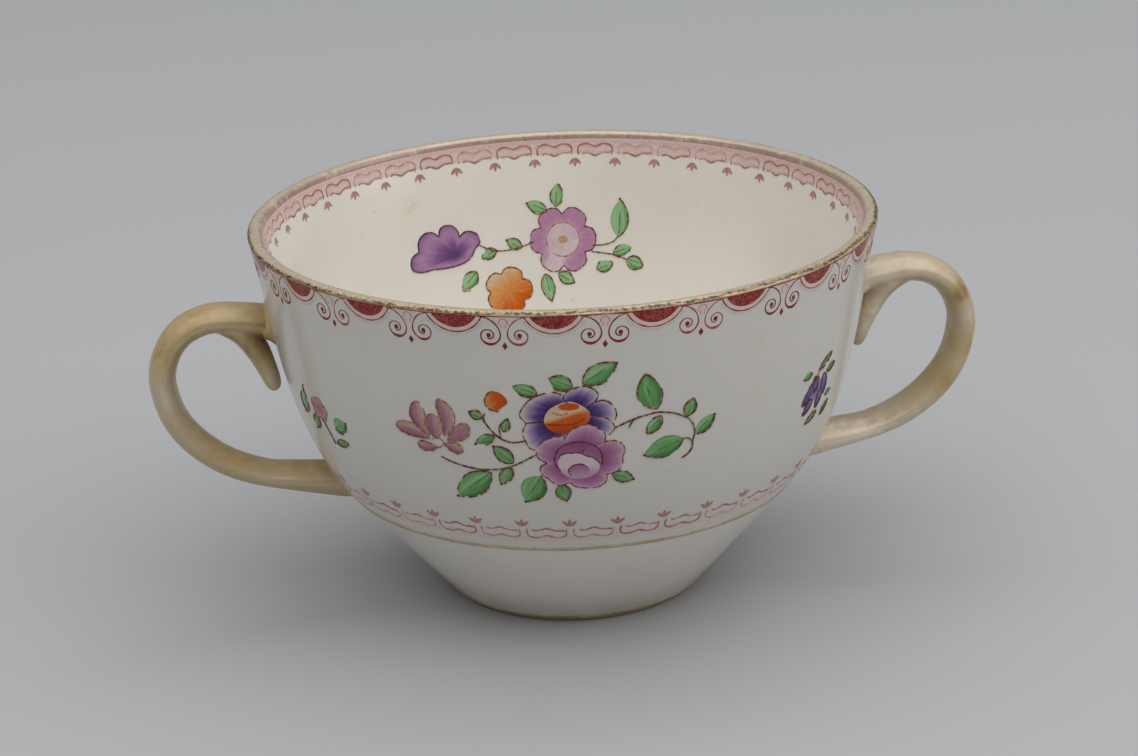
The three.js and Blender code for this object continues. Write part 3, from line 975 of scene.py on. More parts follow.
for repeat in range(MOON_COUNT):
    moon = MOON_FIRST + repeat * moon_step
    middle = moons.flat((moon, MOON_TOP))
    moon_edge, _ = bow(middle, *MOON_SIZE, MOON_STEPS)
    moon_tops = np.column_stack([moon_edge[:, 0], np.full(MOON_STEPS, MOON_TOP)])
    moon_rows = [moon_tops + (moon_edge - moon_tops) * share for share in (0, 0.5, 1)]
    moons.grid(moon_rows, [MOON_TONE] * len(moon_rows))
    halo_edge, _ = bow(middle, *MOON_ARC_SIZE, MOON_STEPS)
    halos.grid([moon_edge, halo_edge], MOON_HALO_TONES)
    moon_arc, ways = bow(middle, *MOON_ARC_SIZE, FRINGE_TICKS)
    maroon_lines.stroke(moon_arc, MOON_LINE_WIDTH, flat=True)
    for place, way in list(zip(moon_arc, ways))[FRINGE_MARGIN:-FRINGE_MARGIN]:
        tick = np.array([place + way * FRINGE_GAP, place + way * (FRINGE_GAP + FRINGE_LENGTH)])
        pale_lines.ribbon(tick, FRINGE_WIDTH, tone=FRINGE_TONE)
    axis = moon + moon_step / 2
    for side in (1, -1):
        path = scroll(axis, side)
        line = even_steps(smooth_curve(maroon_lines.flat(path)), STROKE_STEP)
        deep = np.clip((SCROLL_BELLY[0] - line[:, 1]) / SCROLL_BELLY[1], 0, 1)
        maroon_lines.ribbon(line, np.interp(deep, (0, 1), SCROLL_WIDTH))
        maroon_lines.dot((axis + side * SCROLL_EYE[0], SCROLL_EYE[1] + SCROLL_DOT_RISE), SCROLL_DOT)
    half_width, half_height = LOZENGE_SIZE
    centre = maroon_lines.flat((axis, LOZENGE_HEIGHT))
    corners = [(half_width, 0), (0, half_height), (-half_width, 0), (0, -half_height)]
    maroon_lines.grid([centre[None], centre + np.array(corners)], [LOZENGE_TONE] * 2, wrap=True)
    trefoil_halo = [(axis + angle, height) for angle, height in TREFOIL_HALO]
    halos.fan((axis, TREFOIL_HEART), trefoil_halo, TREFOIL_HALO_TONE, closed=True, rings=2)
    trefoil = [(axis + angle, height) for angle, height in TREFOIL]
    pale_lines.stroke(trefoil, TREFOIL_WIDTH, tone=TREFOIL_TONE)
    for spread in (-STALK_SPREAD, STALK_SPREAD):
        stalk = list(zip((axis + spread, axis + spread * STALK_TAPER), STALK_HEIGHTS))
        pale_lines.stroke(stalk, STALK_WIDTH, tone=STALK_TONE)

rim_thread = maroon_lines.flat([(angle, RIM_THREAD_HEIGHT) for angle in np.linspace(0, 360, 181)])
maroon_lines.ribbon(rim_thread, RIM_THREAD_WIDTH, tone=RIM_THREAD_TONE)

moon_stops = [(0.1, MAROON_DARK), (0.45, MAROON), (1, MAROON_WORN)]
moons.fire("rim_border_moons", enamel("maroon_moon", moon_stops, speckle=0.35))
scroll_stops = [(0, MAROON_DARK), (0.6, MAROON), (1, MAROON_WORN)]
maroon_lines.fire("rim_border_scrolls", enamel("maroon_line", scroll_stops, speckle=0.2))
halos.fire("rim_border_halos", enamel("pink_halo", [(0, HALO_FAINT), (1, HALO_PINK)], speckle=0.2))
pale_lines.fire("rim_border_fringe", enamel("pale_maroon_line", [(0, MAROON_WORN), (1, PINK_PRINT)]))

# The lace strips: a band of pink wash with panels and tufts printed on it in a brownish line, above the
# shoulder and, upside down, inside the rim. They are transfers too, fired on with the border.
LACE_DARK = (0.36, 0.17, 0.14)
LACE_MID = (0.47, 0.272, 0.23)
LACE_PALE = (0.6, 0.425, 0.375)
WASH_FAINT = (0.72, 0.68, 0.615)
WASH_PINK = (0.69, 0.585, 0.555)
WASH_DEEP = (0.62, 0.42, 0.385)
LACE_BAND = ((-0.15, 0), (0.3, 0.42), (0.8, 0.5), (1.15, 0.4))
LACE_FULL_BAND = (*LACE_BAND, (1.9, 0.38), (2.7, 0.3))
LACE_TOP = [
    (-2.15, 2.85), (-1.6, 2.6), (-0.9, 2.75), (0, 3.1), (0.8, 2.8), (1.5, 2.55), (2.2, 2.6), (2.8, 2.45),
]
LACE_CREST = mirrored([(-0.8, 2.75)], (0, 3.08))
LACE_CREST_TONE = 0.1
LACE_CRADLE = mirrored(
    [(-2.85, 2.95), (-2.95, 2.2), (-2.75, 1.5), (-2.1, 1.2), (-1.3, 1.15), (-0.6, 1.38)],
    (0, 1.6),
)
LACE_FILL_FOOT = mirrored([(-2.75, 1.35), (-1.4, 1.15)], (0, 1.6))
LACE_FILL_TOP = [(-2.85, 2.75), (-1.4, 2.65), (0, 3.05), (1.4, 2.6), (2.85, 2.6)]
LACE_FILL_TONES = (0.6, 0.35, 0.5)
LACE_TUFT_ROOT = (0, 3.45)
LACE_TUFT_TIPS = mirrored([(-1.05, 4.55)], (0, 4.95))
LACE_TUFT_HALF = 0.29
LACE_TUFT_TONE = 0.35
LACE_MIDDLE = 2
LACE_LINE_WIDTH = 0.3
LACE_STRIPS = {
    "shoulder_border": {
        "wall": on_outside,
        "base": 20.7,
        "way": 1,
        "count": 35,
        "first": 2.4,
        "band": LACE_BAND,
        "wash": 1,
    },
    "inner_border": {
        "wall": on_inside,
        "base": 60,
        "way": -1,
        "count": 42,
        "first": 1.5,
        "band": LACE_FULL_BAND,
        "wash": 1.85,
    },
}
pink_stops = [(0, WASH_FAINT), (0.5, WASH_PINK), (1, WASH_DEEP)]
lace_wash = enamel("pink_wash", pink_stops, streak=0.1, speckle=0.15)
lace_line = enamel("pink_line", [(0, LACE_DARK), (0.5, LACE_MID), (1, LACE_PALE)], speckle=0.25)


def on_strip(strip, places, start=0):
    """Flat places of a strip from millimetres beside a start and above the strip's base."""
    return np.array([(start + across, strip["base"] + strip["way"] * up) for across, up in places])


for strip_name, strip in LACE_STRIPS.items():
    middle_height = on_strip(strip, [(0, LACE_MIDDLE)])[0, 1]
    wash = Brushwork(strip["wall"], middle_height, seed=21)
    lines = Brushwork(strip["wall"], middle_height, lift=ENAMEL_LIFT * 2, seed=22)
    step = 360 / strip["count"] * wash.degree
    ring = np.linspace(0, 360, 361) * wash.degree
    band_rows = [on_strip(strip, [(across, up) for across in ring]) for up, _ in strip["band"]]
    wash.grid(band_rows, [tone * strip["wash"] for _, tone in strip["band"]])
    for repeat in range(strip["count"]):
        tuft = strip["first"] * wash.degree + repeat * step
        panel = tuft + step / 2
        foot, top = (on_strip(strip, path, panel) for path in (LACE_FILL_FOOT, LACE_FILL_TOP))
        wash.grid([foot, (foot + top) / 2, top], np.array(LACE_FILL_TONES) * strip["wash"], layer=1)
        for path in (LACE_TOP, LACE_CRADLE):
            lines.stroke(on_strip(strip, path, panel), LACE_LINE_WIDTH, flat=True)
        crest = on_strip(strip, LACE_CREST, panel)
        lines.stroke(crest, LACE_LINE_WIDTH, tone=LACE_CREST_TONE, layer=1, flat=True)
        for tip in LACE_TUFT_TIPS:
            ends = on_strip(strip, [LACE_TUFT_ROOT, tip], tuft) / (wash.degree, 1)
            lines.blade(*ends, LACE_TUFT_HALF, tone=LACE_TUFT_TONE, rows=6, columns=2)
    wash.fire(f"{strip_name}_wash", lace_wash)
    lines.fire(f"{strip_name}_lines", lace_line)

# The outer sprays: flowers and leaves washed in by hand with enamel, a little off thin brown outlines.
# A large bunch with a small sprig at each hand stands on the front, and the same again on the back.
PAINT_LIFT = 0.02
LINE_LIFT = 0.14
LINE_WIDTH = 0.17
LINE_BREAKS = 0.45
LINE_BEAT = 2
LINE_SHADE = 0.4
PLUM_INK = 0.1
BROWN_INK = 0.5
TAN_INK = 0.84
INK_WAVER = 0.1
LEAF_SLIP = 0.18
LEAF_LIGHT = (-0.5, 0.7)
LEAF_BREAKS = 0.9
LEAF_GAPS = (2, 6)
LEAF_BARE_SIDES = 0.08
LEAF_RIM = 0.5
MIDRIB_WIDTH = 0.2
MIDRIB_ROWS = 9
MIDRIB_TONE = 0.1
TIP_BLOT = (0.2, 0.16)
TIP_BLOT_TONE = 0.3
TIP_BLOT_SHARE = 0.6
LOTUS_FILL = 0.88
LOTUS_FORM = {"fullness": 0.5, "belly": 1.4}
LOTUS_WASH = {"tone": 0.5, "along": 0.35, "light": (0.75, 0.85), "shift": (-0.14, -0.1)}
STEM_WIDTH = LINE_WIDTH * 1.15
STEM_BREAKS = 0.08
SPRAY_TURN = 0.35
SPRAY_HEIGHT = 40
SPRAY_LEAF_TONE = 0.68
SPRIG_LEAF_SHADE = -0.1
PETAL_LAYERS = (0, 1, 1, 0, 2, 1)
PALETTE = {
    "leaves": [(0, (0.055, 0.19, 0.055)), (0.5, (0.15, 0.35, 0.12)), (1, (0.31, 0.5, 0.26))],
    "lotus": [(0, (0.19, 0.065, 0.12)), (0.5, (0.385, 0.17, 0.225)), (1, (0.53, 0.34, 0.325))],
    "violet": [
        (0, (0.04, 0.016, 0.1)),
        (0.35, (0.1, 0.056, 0.2)),
        (0.65, (0.31, 0.225, 0.38)),
        (1, (0.66, 0.59, 0.55)),
    ],
    "orange": [
        (0, (0.65, 0.47, 0.33)),
        (0.22, (0.63, 0.3, 0.09)),
        (0.5, (0.57, 0.095, 0.006)),
        (1, (0.38, 0.03, 0.003)),
    ],
    "rose": [
        (0, (0.25, 0.065, 0.165)),
        (0.35, (0.35, 0.135, 0.27)),
        (0.7, (0.48, 0.26, 0.39)),
        (1, (0.64, 0.52, 0.54)),
    ],
    "purple": [(0, (0.11, 0.055, 0.155)), (0.5, (0.22, 0.1, 0.255)), (1, (0.42, 0.245, 0.395))],
    "lines": [
        (0, (0.08, 0.012, 0.045)),
        (0.35, (0.11, 0.034, 0.018)),
        (0.65, (0.26, 0.1, 0.045)),
        (1, (0.46, 0.31, 0.2)),
    ],
}
STREAKS = {"leaves": 0.3, "lotus": 0.22, "lines": 0.05}
FLOWER_STREAK = 0.1

paints = {}
for colour, stops in PALETTE.items():
    paints[colour] = enamel(f"{colour}_enamel", stops, STREAKS.get(colour, FLOWER_STREAK))


class Spray:
    """One painted spray: a layer of brushwork for each colour of the palette, with the lines on top."""

    def __init__(self, name, wall, height, turn, seed, leaf_tone):
        self.name = name
        self.leaf_tone = leaf_tone
        self.random = random.Random(seed)
        self.layers = {}
        for order, colour in enumerate(PALETTE):
            lift = LINE_LIFT if colour == "lines" else ENAMEL_LIFT + order * PAINT_LIFT
            beads = {"beat": LINE_BEAT, "shade": LINE_SHADE} if colour == "lines" else {}
            self.layers[colour] = Brushwork(wall, height, turn, lift, seed + order, **beads)

    def ink(self, places, tone=BROWN_INK, width=LINE_WIDTH, broken=LINE_BREAKS, **more):
        """An outline or a stem, each a little darker or paler than the next."""
        shade = tone + self.random.uniform(-INK_WAVER, INK_WAVER)
        self.layers["lines"].stroke(places, width, broken=broken, tone=min(max(shade, 0), 1), **more)

    def ink_edges(self, rows, tone):
        """Lines along both edges of a blade."""
        for edge in (0, -1):
            self.ink([row[edge] for row in rows], tone, flat=True)

    def leaf(self, base, tip, half_width, bend=0, shade=0):
        """A leaf: a wash with a dark midrib in a broken outline, often with a blot of ink at its tip."""
        slip = [self.random.uniform(-LEAF_SLIP, LEAF_SLIP) for _ in range(2)]
        green = self.layers["leaves"]
        tone = self.leaf_tone + shade
        green.blade(base, tip, half_width, tone, rim=LEAF_RIM, light=LEAF_LIGHT, shift=slip, bend=bend)
        rows = green.blade_rows(base, tip, half_width, bend=bend)
        midrib = [row[len(row) // 2] + slip for row in rows[1:MIDRIB_ROWS]]
        green.stroke(midrib, MIDRIB_WIDTH, tone=MIDRIB_TONE, layer=1, flat=True)
        for edge in (0, -1):
            if self.random.random() > LEAF_BARE_SIDES:
                self.ink([row[edge] for row in rows], broken=LEAF_BREAKS, gaps=LEAF_GAPS, flat=True)
        if self.random.random() < TIP_BLOT_SHARE:
            self.layers["lines"].dot(tip, TIP_BLOT, tone=TIP_BLOT_TONE)

    def petals(self, colour, heart, edges, tone, drawn=None, line=BROWN_INK):
        """Petals from a hidden heart to their edges, with the edges drawn in.
        Drawn may say how many points of each edge are."""
        for order, edge in enumerate(edges):
            self.layers[colour].fan(heart, edge, tone, layer=PETAL_LAYERS[order])
            self.ink(edge[: drawn[order]] if drawn else edge, line)

    def slim_petal(self, base, tip, half_width, bend, layer):
        """A long petal of the lotus, washed in a little narrower than its tan outline."""
        form = {"bend": bend, **LOTUS_FORM}
        self.layers["lotus"].blade(base, tip, half_width * LOTUS_FILL, layer=layer, **LOTUS_WASH, **form)
        self.ink_edges(self.layers["lines"].blade_rows(base, tip, half_width, **form), TAN_INK)

    def fire(self):
        """Makes a piece of each colour in use."""
        for colour, layer in self.layers.items():
            if layer.places:
                layer.fire(f"{self.name}_{colour}", paints[colour])


def oval(middle, half_size, count=12):
    """Places round an oval, from its right end over its top."""
    turns = np.linspace(0, 2 * math.pi, count, endpoint=False)
    return [(middle[0] + half_size[0] * math.cos(t), middle[1] + half_size[1] * math.sin(t)) for t in turns]


ANEMONE_HEART = (-7.8, 44)
ANEMONE_PETALS = [
    [(-8.6, 47.5), (-10.2, 48), (-11.75, 47.8), (-13.8, 47.1), (-15.1, 46.2), (-16.4, 44.2), (-15.3, 42.9)],
    [(-15.3, 42.9), (-16.1, 41.3), (-15.7, 40), (-15.1, 38.8), (-14, 38.4), (-11.5, 38.6), (-7, 41)],
    [(-8.4, 47.1), (-7.6, 48.1), (-6.4, 48.5), (-4.7, 48.8), (-2.7, 48), (-2.2, 47.1), (-3, 46.1)],
    [(-3, 46.1), (-1.2, 46.3), (0.3, 45.5), (1.07, 44), (0.74, 42.9)],
    [(-3.6, 43.7), (-1.65, 43.7), (0.1, 42.7), (0.74, 41.6), (-0.35, 40.5), (-2, 41.5)],
]
ANEMONE_DRAWN = (7, 5, 7, 5, 5)
ANEMONE_CREASES = [
    [(-8.4, 47.3), (-8.3, 46.7), (-7.7, 46.2)],
    [(-3, 46.1), (-3.7, 45.7), (-4.5, 45.2)],
    [(-15.3, 42.9), (-13.6, 43.1), (-12.2, 43.2)],
]
ANEMONE_TONE = ((0.5, 0.02), (0.74, 0.47), (0.92, 0.82), (1, 1))
ANEMONE_DOME = [
    (-12, 43.7), (-11.2, 45), (-9.6, 45.9), (-7.3, 46.4), (-5.3, 45.7), (-3.8, 44.5),
    (-4, 43), (-6, 42), (-8.6, 41.1), (-10.8, 41.6), (-11.9, 42.6),
]
DOME_CREAM_EDGE = (-8, 44.3)
DOME_CREAM_LEAN = 0.25
DOME_ORANGE = (0.7, 0.5)
DOME_DEEP_HEIGHT = 43.2
DOME_DEEP = (2, 0.4)
DOME_CAP = ((-7.5, 45.55), (1.95, 0.62))
DOME_CAP_TONE = ((0, 0.6), (1, 0.6))
DOME_SEAM = [(-11.6, 42.7), (-10, 42.6), (-8, 42.5), (-6, 42.9), (-4.6, 43.6)]
DOME_SEAM_WIDTH = 0.3
STAMENS = [(-10.3, 44.6), (-9.8, 44.45), (-9.4, 44.3), (-8.9, 44.25), (-8.3, 44.35), (-7.8, 44.5)]
STAMEN_SIZE = (0.11, 0.11)
ROSE_HEART = (-6, 36.3)
ROSE_PETALS = [
    [(-8.6, 40.1), (-7.3, 41.6), (-4.7, 42.5), (-3, 42.2), (-1, 40.6), (-1.2, 39.3)],
    [(-8.2, 40.5), (-8.8, 40.6), (-10.8, 40.5), (-13, 39.5), (-13.8, 38.2), (-13.6, 37.1), (-11.9, 36.1)],
    [(-11.9, 36.1), (-13.2, 35.5), (-13.2, 34.3), (-11.9, 33.4), (-10.8, 32.5), (-9.4, 32.2), (-7.9, 32.7)],
    [(-7.9, 32.7), (-6.65, 31.9), (-3.8, 31.5), (-2.1, 31.7), (-0.8, 32.5), (-0.6, 34)],
    [
        (-2.3, 39), (-0.35, 39.5), (1.6, 39.2), (2.7, 37.9),
        (2.3, 36.6), (2.3, 35.3), (1.2, 34.2), (-0.6, 33.8),
    ],
]
ROSE_TONE = ((0.5, 0), (0.85, 0.55), (1, 0.92))
ROSE_WHORL = ((-6, 36.5), (4.45, 3.15))
ROSE_RING = [
    (-9.5, 34.7), (-10.5, 36.2), (-10.3, 37.5), (-9.5, 38.7), (-7.3, 39.6),
    (-4.7, 39.5), (-2.4, 38.5), (-1.6, 36.8), (-1.7, 35.4),
]
ROSE_BOWL_HEART = (-6, 35.4)
ROSE_BOWL = [
    (-9.9, 36.4), (-9.2, 37.5), (-7.2, 37.8), (-5.4, 37.5), (-3.9, 37), (-2.5, 36.3),
    (-2, 35.3), (-2.6, 34.2), (-4.5, 33.4), (-7, 33.3), (-9, 34.2),
]
ROSE_BOWL_LIP = [(-9.8, 36.8), (-9.3, 37.5), (-8.2, 37.8), (-6.7, 37.8), (-5.5, 37.95), (-4.8, 38.35)]
ROSE_BOWL_FOLD = [(-5.4, 37.7), (-4.5, 37.2), (-3.4, 36.9), (-2.5, 36.3), (-1.9, 35.6)]
ROSE_EYE = ((-6, 34.75), (2.1, 1.05))
ROSE_LINE_BREAKS = 0.1
ROSE_EYE_LASH = [(-7.4, 33.8), (-8, 34.6), (-7.65, 35.3), (-6.7, 35.8), (-5.4, 35.85), (-4.6, 35.5)]
LOTUS_PETALS = [
    ((-34.6, 39.1), (-41.7, 40.6), 1.15, -0.3, 0),
    ((-34.6, 39.6), (-36.1, 45.3), 1.3, 0.75, 1),
    ((-31.4, 39.9), (-31.5, 46.1), 1.25, -0.95, 1),
    ((-30.9, 39.2), (-26.3, 42.2), 1.15, -0.3, 0),
    ((-33.2, 37.8), (-37.5, 37.9), 0.85, 0.25, 0),
    ((-31.6, 38.5), (-28, 37.6), 0.9, 0, 1),
    ((-33.2, 39.2), (-33.3, 43.4), 1.45, 0, 2),
]
LOTUS_CALYX = [(-34.2, 38.9), (-33.4, 39.4), (-32.2, 39.3), (-31.8, 38.6), (-32.6, 37.9), (-33.4, 37.6)]
BUD_HEART = (-20.5, 46.4)
BUD = [
    (-22.4, 46.2), (-21.9, 47.5), (-20.5, 48), (-19.1, 47.4),
    (-18.4, 46.3), (-19.4, 45.5), (-20.7, 44.8), (-22, 45.3),
]
BUD_LINE = [(-20.2, 44.7), (-22.1, 45.2), (-22.6, 46.4), (-21.9, 47.6), (-20.8, 48.1)]
STEMS = [
    [
        (-32.8, 36.2), (-30.7, 35.5), (-28.4, 35), (-25.3, 34.65),
        (-23, 34.7), (-20.5, 35), (-18.4, 35.6), (-13.6, 37.7),
    ],
    [(-22.8, 44.3), (-23.2, 43.4), (-22, 41.6), (-20.1, 40.1), (-18, 39.6), (-15.9, 39.9)],
    [(-20.2, 40.3), (-20.4, 41.4), (-20.3, 42.4), (-19.6, 42.9)],
    [
        (0.74, 41.6), (3.35, 42.5), (5, 42.95), (6.8, 43.2),
        (8.6, 43.4), (11.8, 42.9), (13.6, 42.2), (14.9, 41.6),
    ],
    [(14.9, 41.6), (16, 40.3), (16.4, 38.8), (16.1, 37.5), (16.2, 36.6), (15.5, 35.6), (14.1, 34.9)],
    [(4.9, 42.9), (4, 42.4), (3.35, 41.4)],
    [(16.1, 37.4), (15.4, 38.1), (14.1, 38.4)],
]
LEAVES = [
    ((-23.4, 43.6), (-25.7, 44.4), 0.75),
    ((-19.6, 41.4), (-18.7, 43.5), 0.65),
    ((-21.4, 40.6), (-25.3, 39), 0.78),
    ((-18.4, 36.1), (-21.9, 38.8), 1.2),
    ((-19, 35.2), (-21.3, 32.2), 1),
    ((-23, 34.1), (-31.2, 29.3), 1.95),
    ((-13.4, 33.9), (-16.9, 29.1), 2.05),
    ((-9.7, 32.2), (-8.6, 29.3), 1.2),
    ((-13, 47.7), (-17.2, 48.9), 1),
    ((-6.75, 48.7), (-10.9, 50.2), 1.25),
    ((-4.9, 49.2), (1.07, 52.2), 1.6),
    ((8.5, 44), (6.3, 49.9), 1.8, 0.3, -0.2),
    ((14.5, 42), (15.7, 44.8), 1),
    ((9.5, 42.7), (6.9, 40), 1),
    ((16.8, 38.7), (20.3, 41.4), 1.05),
    ((14.2, 38.4), (6.5, 36.4), 1.8, 0, -0.12),
    ((0.4, 33.7), (4.65, 32.4), 1),
]
LEFT_SPRIG_LEAVES = [
    ((-72.3, 36.2), (-70, 40.6), 1.25),
    ((-66.5, 37.1), (-68.8, 34.4), 1),
    ((-60.2, 36.2), (-56, 38), 1.35),
    ((-61.6, 33.4), (-57, 34.2), 0.65),
]
LEFT_SPRIG_BLOSSOM = ((-64.6, 38.6), (2.7, 2.1))
LEFT_SPRIG_TONE = ((0.1, 0.4), (1, 1))
LEFT_SPRIG_STEMS = [
    [(-64.4, 37), (-63.6, 35.6), (-62.9, 34.4), (-62.4, 33)],
    [(-70, 40.6), (-69.5, 41.6)],
]
RIGHT_SPRIG_LEAVES = [
    ((48, 42.4), (52.4, 44.5), 0.6),
    ((51.5, 41.3), (54.6, 42.3), 0.55),
    ((45.5, 42.7), (43, 42), 0.6),
    ((53.3, 36.8), (55.8, 37.3), 0.6),
    ((53.3, 33.6), (55.6, 35.6), 0.6),
    ((50.8, 35), (47, 33.6), 0.65),
]
RIGHT_SPRIG_PETALS = [
    ((48.4, 41.3), (44, 37.3), 1),
    ((48, 39.2), (46.9, 41.7), 0.7),
    ((47.4, 37.8), (45, 35.5), 0.75),
    ((50.5, 41.4), (51.8, 37.6), 0.8),
    ((50.4, 38.8), (49.8, 35.7), 0.8),
]
RIGHT_SPRIG_FORM = {"fullness": 0.6}
RIGHT_SPRIG_WASH = {"tone": 0.36, "along": -0.5, "layer": 1}
RIGHT_SPRIG_BLOSSOM = ((48.9, 38.9), (2.6, 1.7))
RIGHT_SPRIG_TONE = ((0, 0.4), (1, 0.68))
RIGHT_SPRIG_EYE = ((48.4, 39.4), (0.35, 0.6))
RIGHT_SPRIG_STEM = [(48, 42.5), (47.9, 41.4), (48.2, 40.2)]
PETAL_POINTS = 7
PETAL_DIP = 0.25


def blossom(spray, colour, middle, half_size, tone, count=5, line=BROWN_INK):
    """A round flower of equal petals."""
    step = 2 * math.pi / count
    edges = []
    for petal in range(count):
        turns = step * petal + np.linspace(-0.5, 0.5, PETAL_POINTS) * step
        swell = 1 - PETAL_DIP * np.abs(np.linspace(-1, 1, PETAL_POINTS)) ** 3
        across = middle[0] + half_size[0] * swell * np.cos(turns)
        up = middle[1] + half_size[1] * swell * np.sin(turns)
        edges.append(list(zip(across, up)))
    spray.petals(colour, middle, edges, tone, line=line)


def leaning_tone(tone, place, slopes, limits=(0, 1)):
    """A tone at a place that changes by slopes for each degree round the wall and each millimetre up it."""

    def tone_at(angles, heights):
        return np.clip(tone + slopes[0] * (angles - place[0]) + slopes[1] * (heights - place[1]), *limits)

    return tone_at


def dome_tone(angles, heights):
    """Cream at the top of the anemone's heart, then orange, deepest below."""
    edge = DOME_CREAM_EDGE[1] + DOME_CREAM_LEAN * (angles - DOME_CREAM_EDGE[0])
    orange = np.clip((edge - heights) / DOME_ORANGE[0], 0, 1) * DOME_ORANGE[1]
    return orange + np.clip((DOME_DEEP_HEIGHT - heights) / DOME_DEEP[0], 0, 1) * DOME_DEEP[1]


bud_tone = leaning_tone(0.5, BUD_HEART, (0.13, 0), (0.2, 0.9))
whorl_tone = leaning_tone(0.05, (-6, 39.5), (0, -0.09))
rose_bowl_tone = leaning_tone(0.8, (-6, 34.2), (0, 0.12))
rose_eye_tone = leaning_tone(0.66, (-6, 34.2), (0, -0.28))

for side_name, turn in (("front", SPRAY_TURN), ("back", SPRAY_TURN + 180)):
    spray = Spray(f"{side_name}_spray", on_outside, SPRAY_HEIGHT, turn, seed=31, leaf_tone=SPRAY_LEAF_TONE)
    orange, rose, violet = (spray.layers[colour] for colour in ("orange", "rose", "violet"))
    for leaf in LEAVES:
        spray.leaf(*leaf)
    for petal in LOTUS_PETALS:
        spray.slim_petal(*petal)
    spray.ink(LOTUS_CALYX, TAN_INK, broken=0)
    for stem in STEMS:
        spray.ink(stem, width=STEM_WIDTH, broken=STEM_BREAKS)
    orange.fan(BUD_HEART, BUD, bud_tone, closed=True)
    spray.ink(BUD_LINE)
    spray.petals("violet", ANEMONE_HEART, ANEMONE_PETALS, ANEMONE_TONE, ANEMONE_DRAWN)
    for crease in ANEMONE_CREASES:
        spray.ink(crease, PLUM_INK, broken=0)
    dome_heart = tuple(np.mean(ANEMONE_DOME, axis=0))
    orange.fan(dome_heart, ANEMONE_DOME, dome_tone, closed=True)
    orange.fan(DOME_CAP[0], oval(*DOME_CAP), DOME_CAP_TONE, closed=True, rings=3, layer=1)
    orange.stroke(DOME_SEAM, DOME_SEAM_WIDTH, tone=1, layer=1)
    for stamen in STAMENS:
        spray.layers["lines"].dot(stamen, STAMEN_SIZE, tone=BROWN_INK)
    spray.petals("rose", ROSE_HEART, ROSE_PETALS, ROSE_TONE)
    rose.fan(ROSE_WHORL[0], oval(*ROSE_WHORL), whorl_tone, closed=True, layer=3)
    rose.fan(ROSE_BOWL_HEART, ROSE_BOWL, rose_bowl_tone, closed=True, layer=4)
    rose.fan(ROSE_EYE[0], oval(*ROSE_EYE), rose_eye_tone, closed=True, layer=5)
    for line in (ROSE_RING, ROSE_BOWL_LIP, ROSE_BOWL_FOLD, ROSE_EYE_LASH):
        spray.ink(line, PLUM_INK, broken=ROSE_LINE_BREAKS)
    for leaf in LEFT_SPRIG_LEAVES:
        spray.leaf(*leaf)
    blossom(spray, "lotus", *LEFT_SPRIG_BLOSSOM, LEFT_SPRIG_TONE, line=TAN_INK)
    for stem in LEFT_SPRIG_STEMS:
        spray.ink(stem, broken=0)
    for leaf in RIGHT_SPRIG_LEAVES:
        spray.leaf(*leaf, shade=SPRIG_LEAF_SHADE)
    violet.fan(RIGHT_SPRIG_BLOSSOM[0], oval(*RIGHT_SPRIG_BLOSSOM), RIGHT_SPRIG_TONE, closed=True)
    for petal in RIGHT_SPRIG_PETALS:
        violet.blade(*petal, **RIGHT_SPRIG_WASH, **RIGHT_SPRIG_FORM)
        spray.ink_edges(violet.blade_rows(*petal, **RIGHT_SPRIG_FORM), PLUM_INK)
    violet.dot(*RIGHT_SPRIG_EYE, layer=2)
    spray.ink(RIGHT_SPRIG_STEM, TAN_INK, broken=0)
    spray.fire()

# The inner spray: one more bunch in the same enamels and inks, on the far inner wall, facing the drinker.
# A purple fan, an orange flower and a pink rose hang on thin stems between small leaves.
INNER_SPRAY_HEIGHT = 43
INNER_LEAF_TONE = 1
INNER_HEART = (-18.5, 42.3)
INNER_FAN = [
    [(-24.5, 40.7), (-28, 40.7), (-30, 41.5), (-29.6, 43.2), (-27.5, 44)],
    [(-27.5, 44), (-27, 45.8), (-25, 46.8), (-23, 46.6), (-22, 45.8)],
    [(-22, 45.8), (-21, 47.2), (-18.6, 47.3), (-17.2, 46.3), (-17, 45.2)],
    [(-17, 45.2), (-15.2, 45.9), (-12.8, 45.3), (-12.2, 44), (-13.6, 42.8)],
    [(-13.6, 42.8), (-15, 41.4), (-17.5, 40.7), (-21, 40.5), (-24.5, 40.7)],
]
INNER_FAN_TONE = ((0.15, 0), (0.5, 0.62), (0.8, 0.97), (1, 0.5))
INNER_ROSE = ((6.9, 43.1), (7.5, 5.6))
INNER_ROSE_REACH = (0.45, 0.7, 1)
INNER_ROSE_TONES = (0.8, 0.56, 0.68)
INNER_ROSE_FADE = (4.9, 39.2)
INNER_ROSE_FADE_SIZE = (2.6, 2)
INNER_ROSE_FADE_SHARE = 0.5
INNER_ROSE_HEART = 0.5
INNER_ROSE_HEART_TONE = ((0, 0.95), (1, 0.95))
INNER_ROSE_EYE = (0.8, 0.66)
INNER_ORANGE = ((-6.7, 35.4), (5.8, 3.8))
INNER_LEAVES = [
    ((5.6, 48.6), (6.2, 52.4), 1.1),
    ((3.6, 47.8), (-0.8, 49.4), 1),
    ((19.4, 43.4), (19.8, 49.8), 1.6),
    ((18.4, 40.6), (22.6, 41.8), 1),
    ((14.6, 38.2), (18.4, 39.2), 1),
    ((21.6, 39.8), (25.6, 38.8), 1.1),
    ((-2.6, 42.2), (-6, 43.6), 0.9),
    ((-8.6, 42.2), (-12.2, 41.2), 0.9),
    ((-13.8, 39), (-18, 36.4), 1.3),
    ((2.4, 37.6), (3.6, 33.2), 1.2),
    ((5.6, 37.6), (9.2, 36), 1),
]
